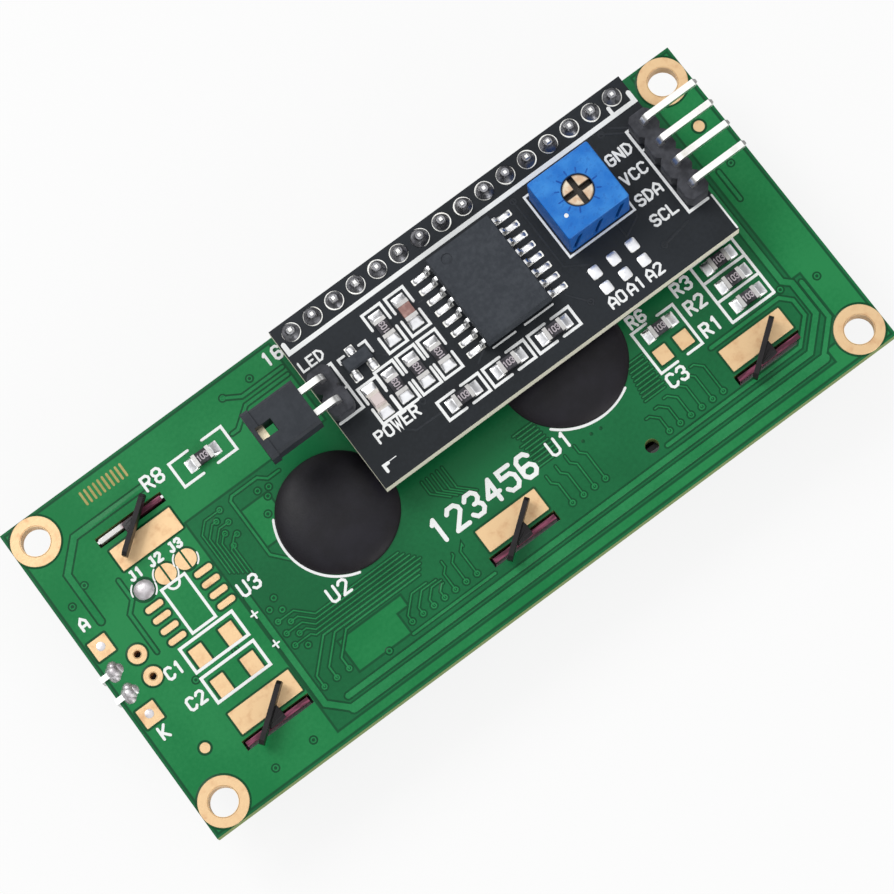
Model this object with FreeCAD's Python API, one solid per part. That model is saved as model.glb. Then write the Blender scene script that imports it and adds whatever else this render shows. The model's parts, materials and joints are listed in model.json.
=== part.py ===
import FreeCAD, Part

import math
import os

# Character display module with a serial interface board on its back.
# Millimetres. The origin is the middle of the four mounting holes, on the back face of the main board.
# +Z points away from the display, +X runs along the long side towards pin 1, +Y towards the pin row.

Vec = FreeCAD.Vector
ALONG_Y = Vec(0, 1, 0)
ALONG_Z = Vec(0, 0, 1)

# Main board
board_length = 80.0
board_width = 36.0
board_thick = 1.6
mount_hole_inset = 2.5
mount_hole_d = 3.0
lead_hole_d = 0.8
test_hole_pitch = 2.6
test_hole_inset = 4.05
test_hole_y = -0.55
tooling_hole_d = 1.4
tooling_hole_x = 15.0
tooling_hole_y = -12.6

# Pin row that joins the two boards
pin_count = 16
pitch = 2.54
pin_side = 0.64
pin_hole_d = 1.0
pin_taper = 0.3
row_inset = 1.8
first_pin_inset = 8.0
pin_below = 1.2
pin_above = 1.1

# Insulators of the pin rows
strip_height = 2.5
strip_width = 2.5
strip_corner = 0.45

# Folded steel bezel
bezel_end_margin = 4.4
bezel_width = 24.7
bezel_height = 7.1
bezel_y = -0.4
sheet = 0.5
bend_r = 0.9
corner_slit = 0.3
corner_slit_reach = 2.4
corner_slit_turn = 45.0
notch_overcut = 0.5
window_end_frame = 3.35
window_side_frame = 4.35
window_bevel = 0.3

# Locking tabs of the bezel
tab_columns = 3
tab_end_inset = 6.6
tab_width = 7.2
tab_end_gap = 0.25
tab_face_gap = 0.3
tab_shoulder = 0.15
tab_neck_width = 1.8
tab_neck_height = 0.5
tab_head_width = 6.2
tab_head_height = 1.25
tab_head_corner = 0.35
tab_twist = 38.0
tab_lean = 0.9
tab_twist_steps = 3

# Display cell
film_thick = 0.2
glass_thick = 1.1
glass_end_gap = 0.2
glass_side_gap = 0.25
glass_ledge = 2.4
film_overlap_x = 1.0
film_overlap_y = 1.3
contact_strip_inset = 2.4
contact_strip_thick = 2.0
contact_strip_gap = 0.15

# Backlight
backlight_end_inset = 2.5
backlight_side_inset = 0.55
guide_thick = 3.0
guide_gap = 0.15
tray_wall = 0.8
light_block_length = 1.8
lead_width = 0.6
lead_thick = 0.25
lead_pitch = 2.54
lead_y = -0.55
lead_overlap = 1.4
lead_solder_d = 1.7
lead_solder_top_d = 0.8
lead_solder_height = 0.6
lead_notch_gap = 0.4
lead_pad_y = 4.0
lead_pad_inset = 1.7

# Chip domes
dome_left_d = 12.2
dome_left_x = -12.7
dome_left_y = 0.3
dome_right_d = 13.2
dome_right_x = 13.0
dome_right_y = -0.8
dome_height = 1.3
dome_rim_width = 0.5
dome_rim_height = 0.6

# Chip resistors and the like
chip_length = 2.0
chip_width = 1.25
chip_height = 0.55
capacitor_height = 0.85
chip_end = 0.4
chip_end_proud = 0.03
solder_reach = 0.55
solder_rise = 0.42

# Interface board, placed from pin 16 of the row
backpack_end_margin = 1.75
backpack_width = 19.0
backpack_thick = 1.6
backpack_row_inset = 1.3
header_inset = 1.27

# Wide sixteen-lead chip
expander_gap = 2.025
expander_v = -7.65
expander_width = 7.5
expander_length = 10.3
expander_height = 2.35
expander_lift = 0.1
expander_draft = 0.2
expander_chamfer = 0.45
expander_dimple_d = 1.1
expander_dimple_depth = 0.1
expander_pitch = 1.27
expander_side_leads = 8
expander_span = 10.3
expander_lead_width = 0.42
expander_lead_thick = 0.25
expander_foot = 0.75
expander_shoulder = 0.4

# Contrast trimmer
trimmer_gap = 2.8
trimmer_v = -6.55
trimmer_size_x = 7.1
trimmer_size_y = 6.8
trimmer_height = 4.9
trimmer_edge_r = 0.25
trimmer_cavity_d = 5.2
trimmer_roof = 1.3
rotor_d = 3.0
rotor_gap = 0.05
rotor_flange_d = 4.8
rotor_flange_thick = 1.1
rotor_top_sink = 0.08
rotor_slot_width = 0.55
rotor_slot_depth = 0.75
element_length = 6.2
element_width = 5.8
element_thick = 0.8
element_sink = 0.2
wiper_length = 3.6
wiper_width = 1.2
wiper_thick = 0.2
wiper_gap = 0.03
trimmer_pin_d = 0.5
trimmer_hole_d = 0.9
trimmer_pin_x = 2.54
trimmer_pin_y = 1.27
trimmer_groove_width = 0.5
trimmer_groove_depth = 0.35
trimmer_groove_lean = 0.9
trimmer_groove_height = 3.4
trimmer_groove_base = 0.5
trimmer_groove_pitch = 2.45

# Bent-pin headers
bus_pin_count = 4
bus_v = -8.3
jumper_pin_count = 2
jumper_v = -7.4
bent_pin_height = 3.6
bent_pin_r = 0.65
bent_pin_reach = 6.2
tail_below = 1.0

# Jumper cap
cap_length = 5.8
cap_width = 5.08
cap_height = 2.5
cap_pull = 1.25
cap_grip_length = 0.85
cap_grip_proud = 0.15
cap_edge = 0.3
cap_window_width = 1.4
cap_window_length = 1.75
cap_end_wall = 0.4
sleeve_wall = 0.18
sleeve_gap = 0.03
sleeve_recess = 0.3
bridge_length = 0.8
bridge_thick = 0.3

# Indicator and transistor
indicator_u = 2.65
indicator_v = -10.4
indicator_base_height = 0.35
indicator_lens_length = 1.2
indicator_lens_height = 0.5
indicator_lens_draft = 0.12
transistor_u = 3.4
transistor_v = -6.1
transistor_length = 2.9
transistor_width = 1.3
transistor_height = 1.0
transistor_lift = 0.05
transistor_draft = 0.1
transistor_lead_width = 0.42
transistor_lead_thick = 0.14
transistor_span = 2.4
transistor_lead_offset = 0.95
transistor_foot = 0.35
transistor_shoulder = 0.12

# Solder at the pins
joint_base_d = 1.75
joint_tip_d = 0.98
joint_sides = 12
joint_height = 0.8
plug_proud = 0.12
bridge_base_d = 1.8
bridge_top_d = 0.9
bridge_height = 0.3

# Chip resistors on the main board: centre x, centre y
main_resistor_places = ((-19.85, 12.45), (22.5, -3.9), (31.0, -2.0), (31.0, -4.3), (31.0, -6.6))
bridge_inset = 8.15
bridge_y = 5.4

# Chip parts on the interface board: a lower row of upright ones beside the indicator, an upper pair that
# ends with the capacitor, and a level row near the board's lower edge
chip_column_count = 3
chip_column_gap = 2.35
chip_column_pitch = 2.5
lower_chip_v = -10.3
upper_chip_v = -5.1
upper_chip_pitch = 2.7
level_chip_count = 3
level_chip_u = 9.35
level_chip_v = -15.0
level_chip_pitch = 5.325

# Levels and places worked out from the sizes above
hole_span_x = board_length - 2 * mount_hole_inset
hole_span_y = board_width - 2 * mount_hole_inset
board_front = -board_thick
bezel_length = board_length - 2 * bezel_end_margin
bezel_front = board_front - bezel_height
window_length = bezel_length - 2 * window_end_frame
window_width = bezel_width - 2 * window_side_frame
glass_length = bezel_length - 2 * (sheet + glass_end_gap)
front_glass_width = bezel_width - 2 * (sheet + glass_side_gap)
rear_glass_width = front_glass_width - 2 * glass_ledge
front_film_length = window_length + 2 * film_overlap_x
front_film_width = window_width + 2 * film_overlap_y
tray_width = rear_glass_width - 2 * backlight_side_inset
guide_width = tray_width - 2 * (tray_wall + guide_gap)
light_block_left = backlight_end_inset - glass_length / 2
guide_left = light_block_left + light_block_length
guide_right = -light_block_left - tray_wall - guide_gap
backpack_bottom = strip_height
backpack_top = backpack_bottom + backpack_thick
row_y = board_width / 2 - row_inset
row_x = [board_length / 2 - first_pin_inset - pitch * i for i in range(pin_count)]
pin_16_x = row_x[-1]
row_middle = (row_x[0] + row_x[-1]) / 2
backpack_left = row_x[-1] - backpack_end_margin
backpack_right = row_x[0] + backpack_end_margin
backpack_y = row_y + backpack_row_inset - backpack_width / 2
wall_offset = bezel_width / 2 - sheet / 2
chip_column_u = [indicator_u + chip_column_gap + chip_column_pitch * i for i in range(chip_column_count)]
level_column_u = [level_chip_u + level_chip_pitch * i for i in range(level_chip_count)]
expander_u = chip_column_u[-1] + chip_width / 2 + expander_gap + expander_span / 2
trimmer_u = expander_u + expander_span / 2 + trimmer_gap + trimmer_size_x / 2
tab_pitch = (bezel_length - 2 * tab_end_inset) / (tab_columns - 1)
tab_x = [tab_pitch * (i - (tab_columns - 1) / 2) for i in range(tab_columns)]

nodes = {}


def box(x, y, z, size_x, size_y, size_z):
    """Block centred on x and y, standing on z."""
    return Part.makeBox(size_x, size_y, size_z, Vec(x - size_x / 2, y - size_y / 2, z))


def rod(x, y, z, d, height):
    """Upright cylinder standing on z."""
    return Part.makeCylinder(d / 2, height, Vec(x, y, z))


def cone(x, y, z, base_d, tip_d, height):
    """Upright cone frustum; a negative height points it down."""
    direction = ALONG_Z if height > 0 else -ALONG_Z
    return Part.makeCone(base_d / 2, tip_d / 2, abs(height), Vec(x, y, z), direction)


def outline(points):
    """Closed wire through the points."""
    return Part.makePolygon(list(points) + [points[0]])


def prism(points, direction):
    """Straight extrusion of the closed outline through the points."""
    return Part.Face(outline(points)).extrude(direction)


def rectangle(x, y, z, size_x, size_y, turn=0.0):
    """Corners of a level rectangle, turned about its own centre."""
    c = math.cos(math.radians(turn))
    s = math.sin(math.radians(turn))
    corners = []
    for a, b in ((-1, -1), (1, -1), (1, 1), (-1, 1)):
        dx = a * size_x / 2
        dy = b * size_y / 2
        corners.append(Vec(x + dx * c - dy * s, y + dx * s + dy * c, z))
    return corners


def regular(x, y, z, d, sides):
    """Corners of a level regular outline that keeps the circle's area."""
    r = d / 2 * math.sqrt(2 * math.pi / sides / math.sin(2 * math.pi / sides))
    turns = [2 * math.pi * (i + 0.5) / sides for i in range(sides)]
    return [Vec(x + r * math.cos(a), y + r * math.sin(a), z) for a in turns]


def stack(rings, twisted=False):
    """Flat-sided solid through a pile of corner rings; sides that twist are split into triangles."""
    faces = [Part.Face(outline(rings[0])), Part.Face(outline(rings[-1]))]
    for low, high in zip(rings, rings[1:]):
        for i, corner in enumerate(low):
            after = (i + 1) % len(low)
            if twisted:
                faces.append(Part.Face(outline([corner, low[after], high[i]])))
                faces.append(Part.Face(outline([low[after], high[after], high[i]])))
            else:
                faces.append(Part.Face(outline([corner, low[after], high[after], high[i]])))
    solid = Part.Solid(Part.Shell(faces))
    if solid.Volume < 0:
        solid.reverse()
    return solid


def fuse(solids):
    """One solid from several that touch or overlap."""
    first = solids[0]
    return first.fuse(solids[1:]).removeSplitter() if len(solids) > 1 else first


def cut(solid, tools):
    """The solid less the tools."""
    return solid.cut(tools) if tools else solid


def on_backpack(u, v):
    """Place on the interface board, u right of pin 16 and v along y from the pin row."""
    return pin_16_x + u, row_y + v


def add(name, solids):
    """Keeps a node: one solid, or a group of separate ones."""
    nodes[name] = solids if isinstance(solids, list) else [solids]


# Straight and bent square pins
def straight_pin(x, y, low, high):
    """Square pin with a tapered point at each end."""
    point = pin_side / 2
    return stack([
        rectangle(x, y, low, point, point),
        rectangle(x, y, low + pin_taper, pin_side, pin_side),
        rectangle(x, y, high - pin_taper, pin_side, pin_side),
        rectangle(x, y, high, point, point),
    ])


def bent_pin(x, y, side):
    """Pin that rises through the insulator and turns level towards side, +1 or -1 along x."""
    bend_low = backpack_top + bent_pin_height - bent_pin_r
    tail = backpack_bottom - tail_below
    point = pin_side / 2
    leg = stack([
        rectangle(x, y, tail, point, point),
        rectangle(x, y, tail + pin_taper, pin_side, pin_side),
        rectangle(x, y, bend_low, pin_side, pin_side),
    ])
    section = Part.Face(outline(rectangle(x, y, bend_low, pin_side, pin_side)))
    elbow = section.revolve(Vec(x + side * bent_pin_r, y, bend_low), ALONG_Y * side, 90)
    level = bend_low + bent_pin_r
    stations = (
        (x + side * bent_pin_r, pin_side),
        (x + side * (bent_pin_reach - pin_taper), pin_side),
        (x + side * bent_pin_reach, point),
    )
    rings = []
    for station, size in stations:
        half = size / 2
        corners = ((-half, -half), (half, -half), (half, half), (-half, half))
        rings.append([Vec(station, y + b, level + c) for b, c in corners])
    return fuse([leg, elbow, stack(rings)])


def insulator(places, across, z, height):
    """Pin-row insulator: eight-sided cells side by side; across is True where the row runs along y."""
    along = sorted(p[1] if across else p[0] for p in places)
    fixed = places[0][0] if across else places[0][1]
    half = strip_width / 2
    one_side = []
    for middle in along:
        start = middle - pitch / 2
        end = middle + pitch / 2
        one_side.append((start, half - strip_corner))
        one_side.append((start + strip_corner, half))
        one_side.append((end - strip_corner, half))
    one_side.append((along[-1] + pitch / 2, half - strip_corner))
    other_side = [(a, -b) for a, b in reversed(one_side)]
    ring = one_side + other_side
    if across:
        points = [Vec(fixed + b, a, z) for a, b in ring]
    else:
        points = [Vec(a, fixed + b, z) for a, b in ring]
    return prism(points, ALONG_Z * height)


def joint(x, y, face, rise, pin):
    """Cone of solder on the board's face, round the pin; a negative rise points it down."""
    skirt = stack([
        regular(x, y, face, joint_base_d, joint_sides),
        regular(x, y, face + rise, joint_tip_d, joint_sides),
    ])
    return cut(skirt, [pin])


# Main board
def make_main_board():
    """Green board with every drilled hole and the six slots for the bezel's tabs."""
    board = box(0, 0, board_front, board_length, board_width, board_thick)
    tools = []
    for sx in (-1, 1):
        for sy in (-1, 1):
            tools.append(rod(sx * hole_span_x / 2, sy * hole_span_y / 2, board_front, mount_hole_d, board_thick))
    for x in row_x:
        tools.append(rod(x, row_y, board_front, pin_hole_d, board_thick))
    pad_x = -board_length / 2 + lead_pad_inset
    hole_x = -board_length / 2 + test_hole_inset
    for side in (-1, 1):
        tools.append(rod(pad_x, lead_y + side * lead_pad_y, board_front, lead_hole_d, board_thick))
        tools.append(rod(hole_x, test_hole_y + side * test_hole_pitch / 2, board_front, lead_hole_d, board_thick))
    tools.append(rod(tooling_hole_x, tooling_hole_y, board_front, tooling_hole_d, board_thick))
    slot_length = tab_width + 2 * tab_end_gap
    slot_width = sheet + 2 * tab_face_gap
    for x in tab_x:
        for side in (-1, 1):
            y = bezel_y + side * wall_offset
            tools.append(box(x, y, board_front, slot_length, slot_width, board_thick))
    add("main_pcb", cut(board, tools))
    plugs = []
    for side in (-1, 1):
        y = lead_y + side * lead_pad_y
        plugs.append(rod(pad_x, y, board_front, lead_hole_d, board_thick + plug_proud))
    return plugs


# Bezel
def make_tab(x, y, inward):
    """Strap through the board, a neck twisted as it leans inward, +1 or -1 along y, and a head across the slot."""
    strap = box(x, y, board_front, tab_width, sheet, board_thick + tab_shoulder)
    rings = []
    for i in range(tab_twist_steps + 1):
        share = i / tab_twist_steps
        height = tab_shoulder + tab_neck_height * share
        lean = inward * tab_lean * share
        rings.append(rectangle(x, y + lean, height, tab_neck_width, sheet, tab_twist * share))
    neck = stack(rings, True)
    base = tab_shoulder + tab_neck_height
    top = base + tab_head_height
    half = tab_head_width / 2
    profile = (
        Vec(x - half, y - sheet / 2, base),
        Vec(x + half, y - sheet / 2, base),
        Vec(x + half, y - sheet / 2, top - tab_head_corner),
        Vec(x + half - tab_head_corner, y - sheet / 2, top),
        Vec(x - half + tab_head_corner, y - sheet / 2, top),
        Vec(x - half, y - sheet / 2, top - tab_head_corner),
    )
    head = prism(profile, ALONG_Y * sheet)
    head.rotate(Vec(x, y, 0), ALONG_Z, tab_twist)
    head.translate(ALONG_Y * inward * tab_lean)
    return [strap, neck, head]


def rounded_tray(length, width, height, radius):
    """Block below the board with rounded front edges and upright edges."""
    block = box(0, bezel_y, board_front - height, length, width, height)
    front = board_front - height
    upright = [e for e in block.Edges if e.BoundBox.ZLength > radius]
    rim = [e for e in block.Edges if e.BoundBox.ZMax < front + radius]
    return block.makeFillet(radius, rim + upright)


def make_bezel():
    """Folded tray with a bevelled window, open corners, a notch for the leads and six twisted tabs."""
    outer = rounded_tray(bezel_length, bezel_width, bezel_height, bend_r)
    inner = rounded_tray(bezel_length - 2 * sheet, bezel_width - 2 * sheet, bezel_height - sheet, bend_r - sheet)
    window = stack([
        rectangle(0, bezel_y, bezel_front, window_length + 2 * window_bevel, window_width + 2 * window_bevel),
        rectangle(0, bezel_y, bezel_front + sheet, window_length, window_width),
    ])
    tools = [inner, window]
    slit_height = bezel_height - 2 * bend_r
    for sx in (-1, 1):
        for sy in (-1, 1):
            x = sx * (bezel_length / 2 - sheet)
            y = bezel_y + sy * (bezel_width / 2 - sheet)
            slit = box(x, y, board_front - slit_height, corner_slit_reach, corner_slit, slit_height)
            slit.rotate(Vec(x, y, 0), ALONG_Z, corner_slit_turn * sx * sy)
            tools.append(slit)
    notch_width = lead_pitch + lead_width + 2 * lead_notch_gap
    notch_height = lead_thick + lead_notch_gap
    notch_x = -bezel_length / 2 + sheet / 2
    notch_depth = sheet + 2 * notch_overcut
    tools.append(box(notch_x, lead_y, board_front - notch_height, notch_depth, notch_width, notch_height))
    frame = cut(outer, tools)
    pieces = [frame]
    for x in tab_x:
        for side in (-1, 1):
            pieces += make_tab(x, bezel_y + side * wall_offset, -side)
    add("bezel", fuse(pieces))


# Display cell and backlight
def make_display():
    """Stack from the bezel's face to the board: film, two glasses, film, diffuser, light guide, reflector, tray."""
    level = bezel_front + sheet
    add("front_polariser", box(0, bezel_y, level, front_film_length, front_film_width, film_thick))
    level += film_thick
    add("front_glass", box(0, bezel_y, level, glass_length, front_glass_width, glass_thick))
    level += glass_thick
    strip_y = rear_glass_width / 2 + contact_strip_gap + contact_strip_thick / 2
    strip_length = glass_length - 2 * contact_strip_inset
    strip_rise = board_front - level
    for name, side in (("contact_strip_upper", 1), ("contact_strip_lower", -1)):
        y = bezel_y + side * strip_y
        add(name, box(0, y, level, strip_length, contact_strip_thick, strip_rise))
    add("rear_glass", box(0, bezel_y, level, glass_length, rear_glass_width, glass_thick))
    level += glass_thick
    tray_low = level
    guide_x = (guide_left + guide_right) / 2
    guide_length = guide_right - guide_left
    add("rear_polariser", box(guide_x, bezel_y, level, guide_length, guide_width, film_thick))
    level += film_thick
    add("backlight_diffuser", box(guide_x, bezel_y, level, guide_length, guide_width, film_thick))
    level += film_thick
    guide = box(guide_x, bezel_y, level, guide_length, guide_width, guide_thick)
    add("light_guide", guide)
    level += guide_thick
    add("backlight_reflector", box(guide_x, bezel_y, level, guide_length, guide_width, film_thick))
    level += film_thick
    tray_rise = board_front - tray_low
    room_right = guide_right + guide_gap
    tray_right = room_right + tray_wall
    tray = box((guide_left + tray_right) / 2, bezel_y, tray_low, tray_right - guide_left, tray_width, tray_rise)
    room_length = room_right - guide_left
    room_width = tray_width - 2 * tray_wall
    room = box((guide_left + room_right) / 2, bezel_y, tray_low, room_length, room_width, level - tray_low)
    add("backlight_housing", cut(tray, [room]))
    block_x = light_block_left + light_block_length / 2
    add("backlight_leds", box(block_x, bezel_y, tray_low, light_block_length, tray_width, tray_rise))


def make_leads():
    """Two flat leads from the light source along the board's front, round its end and onto its back."""
    edge = -board_length / 2
    outside = edge - lead_thick
    stop = edge + lead_overlap
    leads = []
    lumps = []
    for side in (-1, 1):
        y = lead_y + side * lead_pitch / 2
        low = y - lead_width / 2
        profile = (
            Vec(light_block_left, low, board_front),
            Vec(light_block_left, low, board_front - lead_thick),
            Vec(outside, low, board_front - lead_thick),
            Vec(outside, low, lead_thick),
            Vec(stop, low, lead_thick),
            Vec(stop, low, 0),
            Vec(edge, low, 0),
            Vec(edge, low, board_front),
        )
        lead = prism(profile, ALONG_Y * lead_width)
        leads.append(lead)
        lump = cone(edge + lead_overlap - lead_thick, y, 0, lead_solder_d, lead_solder_top_d, lead_solder_height)
        lumps.append(cut(lump, [lead]))
    add("backlight_leads", leads)
    add("backlight_solder", lumps)


# Chip domes
def make_dome(x, y, d):
    """Drop of potting: a shallow arc from its top to a steep rim, turned about its own axis."""
    r = d / 2
    centre = Vec(x, y, 0)
    top = Vec(x, y, dome_height)
    rim = Vec(x + r, y, 0)
    shoulder = Vec(x + r - dome_rim_width, y, dome_rim_height)
    crown = Vec((x + shoulder.x) / 2, y, dome_height - (dome_height - dome_rim_height) / 4)
    edges = [
        Part.Arc(top, crown, shoulder).toShape(),
        Part.makeLine(shoulder, rim),
        Part.makeLine(rim, centre),
        Part.makeLine(centre, top),
    ]
    return Part.Face(Part.Wire(edges)).revolve(centre, ALONG_Z, 360)


# Chip resistors, capacitor and their solder
def chip(x, y, z, along_y, height):
    """Body, two plated ends and two solder wedges of a chip part, its long side along x or y."""
    body_length = chip_length - 2 * chip_end
    pieces = {"body": [box(0, 0, 0, body_length, chip_width, height)], "ends": [], "solder": []}
    end_width = chip_width + 2 * chip_end_proud
    end_height = height + chip_end_proud
    for side in (-1, 1):
        middle = side * (body_length + chip_end) / 2
        pieces["ends"].append(box(middle, 0, 0, chip_end, end_width, end_height))
        face = side * chip_length / 2
        low = -end_width / 2
        wedge = (Vec(face, low, 0), Vec(face + side * solder_reach, low, 0), Vec(face, low, solder_rise))
        pieces["solder"].append(prism(wedge, ALONG_Y * end_width))
    for group in pieces.values():
        for solid in group:
            if along_y:
                solid.rotate(Vec(0, 0, 0), ALONG_Z, 90)
            solid.translate(Vec(x, y, z))
    return pieces


def make_chips(plugs):
    """Chip parts of both boards, the bridged jumper and the filled pads."""
    bodies = []
    ends = []
    solder = list(plugs)
    for x, y in main_resistor_places:
        part = chip(x, y, 0, False, chip_height)
        bodies += part["body"]
        ends += part["ends"]
        solder += part["solder"]
    bridge_x = bridge_inset - board_length / 2
    solder.append(cone(bridge_x, bridge_y, 0, bridge_base_d, bridge_top_d, bridge_height))
    add("main_resistors", bodies)
    add("main_resistor_ends", ends)
    add("main_solder", solder)
    bodies = []
    ends = []
    solder = []
    places = [(u, lower_chip_v, True) for u in chip_column_u]
    places.append((chip_column_u[-1] - upper_chip_pitch, upper_chip_v, True))
    places += [(u, level_chip_v, False) for u in level_column_u]
    for u, v, along_y in places:
        x, y = on_backpack(u, v)
        part = chip(x, y, backpack_top, along_y, chip_height)
        bodies += part["body"]
        ends += part["ends"]
        solder += part["solder"]
    add("backpack_resistors", bodies)
    add("backpack_resistor_ends", ends)
    x, y = on_backpack(chip_column_u[-1], upper_chip_v)
    part = chip(x, y, backpack_top, True, capacitor_height)
    add("backpack_capacitor", part["body"])
    add("backpack_capacitor_ends", part["ends"])
    add("backpack_solder", solder + part["solder"])


# Interface board
def header_places(count, middle_v, x):
    """Places of a header's pins, in a row along y."""
    middle = row_y + middle_v
    return [(x, middle + pitch * ((count - 1) / 2 - i)) for i in range(count)]


def trimmer_pin_places():
    """Places of the trimmer's three pins."""
    x, y = on_backpack(trimmer_u, trimmer_v)
    return [(x - trimmer_pin_x, y - trimmer_pin_y), (x + trimmer_pin_x, y - trimmer_pin_y), (x, y + trimmer_pin_y)]


def make_backpack(bus_places, jumper_places):
    """Dark board with the drilled rows and the trimmer's holes."""
    length = backpack_right - backpack_left
    board = box(row_middle, backpack_y, backpack_bottom, length, backpack_width, backpack_thick)
    tools = []
    for x, y in [(x, row_y) for x in row_x] + bus_places + jumper_places:
        tools.append(rod(x, y, backpack_bottom, pin_hole_d, backpack_thick))
    for x, y in trimmer_pin_places():
        tools.append(rod(x, y, backpack_bottom, trimmer_hole_d, backpack_thick))
    add("backpack_pcb", cut(board, tools))


def make_interface():
    """Pin row between the boards, its insulator and its joints on both outer faces."""
    pins = []
    front = []
    top = []
    for x in row_x:
        pin = straight_pin(x, row_y, board_front - pin_below, backpack_top + pin_above)
        pins.append(pin)
        front.append(joint(x, row_y, board_front, -joint_height, pin))
        top.append(joint(x, row_y, backpack_top, joint_height, pin))
    strip = insulator([(x, row_y) for x in row_x], False, 0, strip_height)
    add("interface_strip", cut(strip, pins))
    add("interface_pins", pins)
    add("interface_solder_front", front)
    add("interface_solder_top", top)


def make_header(name, places, side):
    """Insulator on the board with pins that turn level above it; returns the joints below the board."""
    pins = []
    joints = []
    for x, y in places:
        pin = bent_pin(x, y, side)
        pins.append(pin)
        joints.append(joint(x, y, backpack_bottom, -joint_height, pin))
    block = insulator(places, True, backpack_top, strip_height)
    add(name + "_block", cut(block, pins))
    add(name + "_pins", pins)
    return joints


# Wide chip
def moulded_body(x, y, z, size_x, size_y, height, lift, draft, band):
    """Moulded package, widest in a band at mid height, drawn in towards both faces."""
    middle = z + (lift + height) / 2
    rings = [
        rectangle(x, y, z + lift, size_x - 2 * draft, size_y - 2 * draft),
        rectangle(x, y, middle - band / 2, size_x, size_y),
        rectangle(x, y, middle + band / 2, size_x, size_y),
        rectangle(x, y, z + height, size_x - 2 * draft, size_y - 2 * draft),
    ]
    return stack(rings)


def gull_wing(root, shoulder, tip, foot, middle, thick, width):
    """Bent lead in the xz plane from root to tip, foot on z = 0, centred on y = 0."""
    knee = tip - foot
    half = thick / 2
    profile = (
        Vec(root, -width / 2, middle - half),
        Vec(root + shoulder - half, -width / 2, middle - half),
        Vec(knee - half, -width / 2, 0),
        Vec(tip, -width / 2, 0),
        Vec(tip, -width / 2, thick),
        Vec(knee + half, -width / 2, thick),
        Vec(root + shoulder + half, -width / 2, middle + half),
        Vec(root, -width / 2, middle + half),
    )
    return prism(profile, ALONG_Y * width)


def make_expander():
    """Wide chip with a chamfered long edge, a dimple at pin 1 and eight leads a side."""
    x, y = on_backpack(expander_u, expander_v)
    body = moulded_body(
        x, y, backpack_top, expander_width, expander_length, expander_height,
        expander_lift, expander_draft, expander_lead_thick,
    )
    top = backpack_top + expander_height
    side = x - expander_width / 2 + expander_draft
    ridge = (
        Vec(side - expander_chamfer, y - expander_length, top),
        Vec(side + expander_chamfer, y - expander_length, top),
        Vec(side - expander_chamfer, y - expander_length, top - expander_chamfer),
    )
    chamfer = prism(ridge, ALONG_Y * 2 * expander_length)
    inset = expander_chamfer + expander_dimple_d
    corner = y + expander_length / 2 - expander_draft - expander_dimple_d
    dimple = rod(side + inset, corner, top - expander_dimple_depth, expander_dimple_d, expander_dimple_depth)
    add("expander_body", cut(body, [chamfer, dimple]))
    middle = (expander_lift + expander_height) / 2
    leads = []
    for i in range(expander_side_leads):
        offset = expander_pitch * (i - (expander_side_leads - 1) / 2)
        for turn in (0, 180):
            lead = gull_wing(
                expander_width / 2, expander_shoulder, expander_span / 2,
                expander_foot, middle, expander_lead_thick, expander_lead_width,
            )
            lead.rotate(Vec(0, 0, 0), ALONG_Z, turn)
            lead.translate(Vec(x, y + offset, backpack_top))
            leads.append(lead)
    add("expander_leads", leads)


def make_transistor():
    """Three-lead transistor: one lead on the upper side, two on the lower."""
    x, y = on_backpack(transistor_u, transistor_v)
    add("transistor_body", moulded_body(
        x, y, backpack_top, transistor_length, transistor_width, transistor_height,
        transistor_lift, transistor_draft, transistor_lead_thick,
    ))
    middle = (transistor_lift + transistor_height) / 2
    leads = []
    for offset, turn in ((0, 90), (-transistor_lead_offset, -90), (transistor_lead_offset, -90)):
        lead = gull_wing(
            transistor_width / 2, transistor_shoulder, transistor_span / 2,
            transistor_foot, middle, transistor_lead_thick, transistor_lead_width,
        )
        lead.rotate(Vec(0, 0, 0), ALONG_Z, turn)
        lead.translate(Vec(x + offset, y, backpack_top))
        leads.append(lead)
    add("transistor_leads", leads)


def make_indicator():
    """Chip indicator: a pale base with plated ends' size and a small moulded lens."""
    x, y = on_backpack(indicator_u, indicator_v)
    add("power_led_base", box(x, y, backpack_top, chip_width, chip_length, indicator_base_height))
    low = backpack_top + indicator_base_height
    draft = 2 * indicator_lens_draft
    add("power_led_lens", stack([
        rectangle(x, y, low, chip_width, indicator_lens_length),
        rectangle(x, y, low + indicator_lens_height, chip_width - draft, indicator_lens_length - draft),
    ]))


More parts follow.
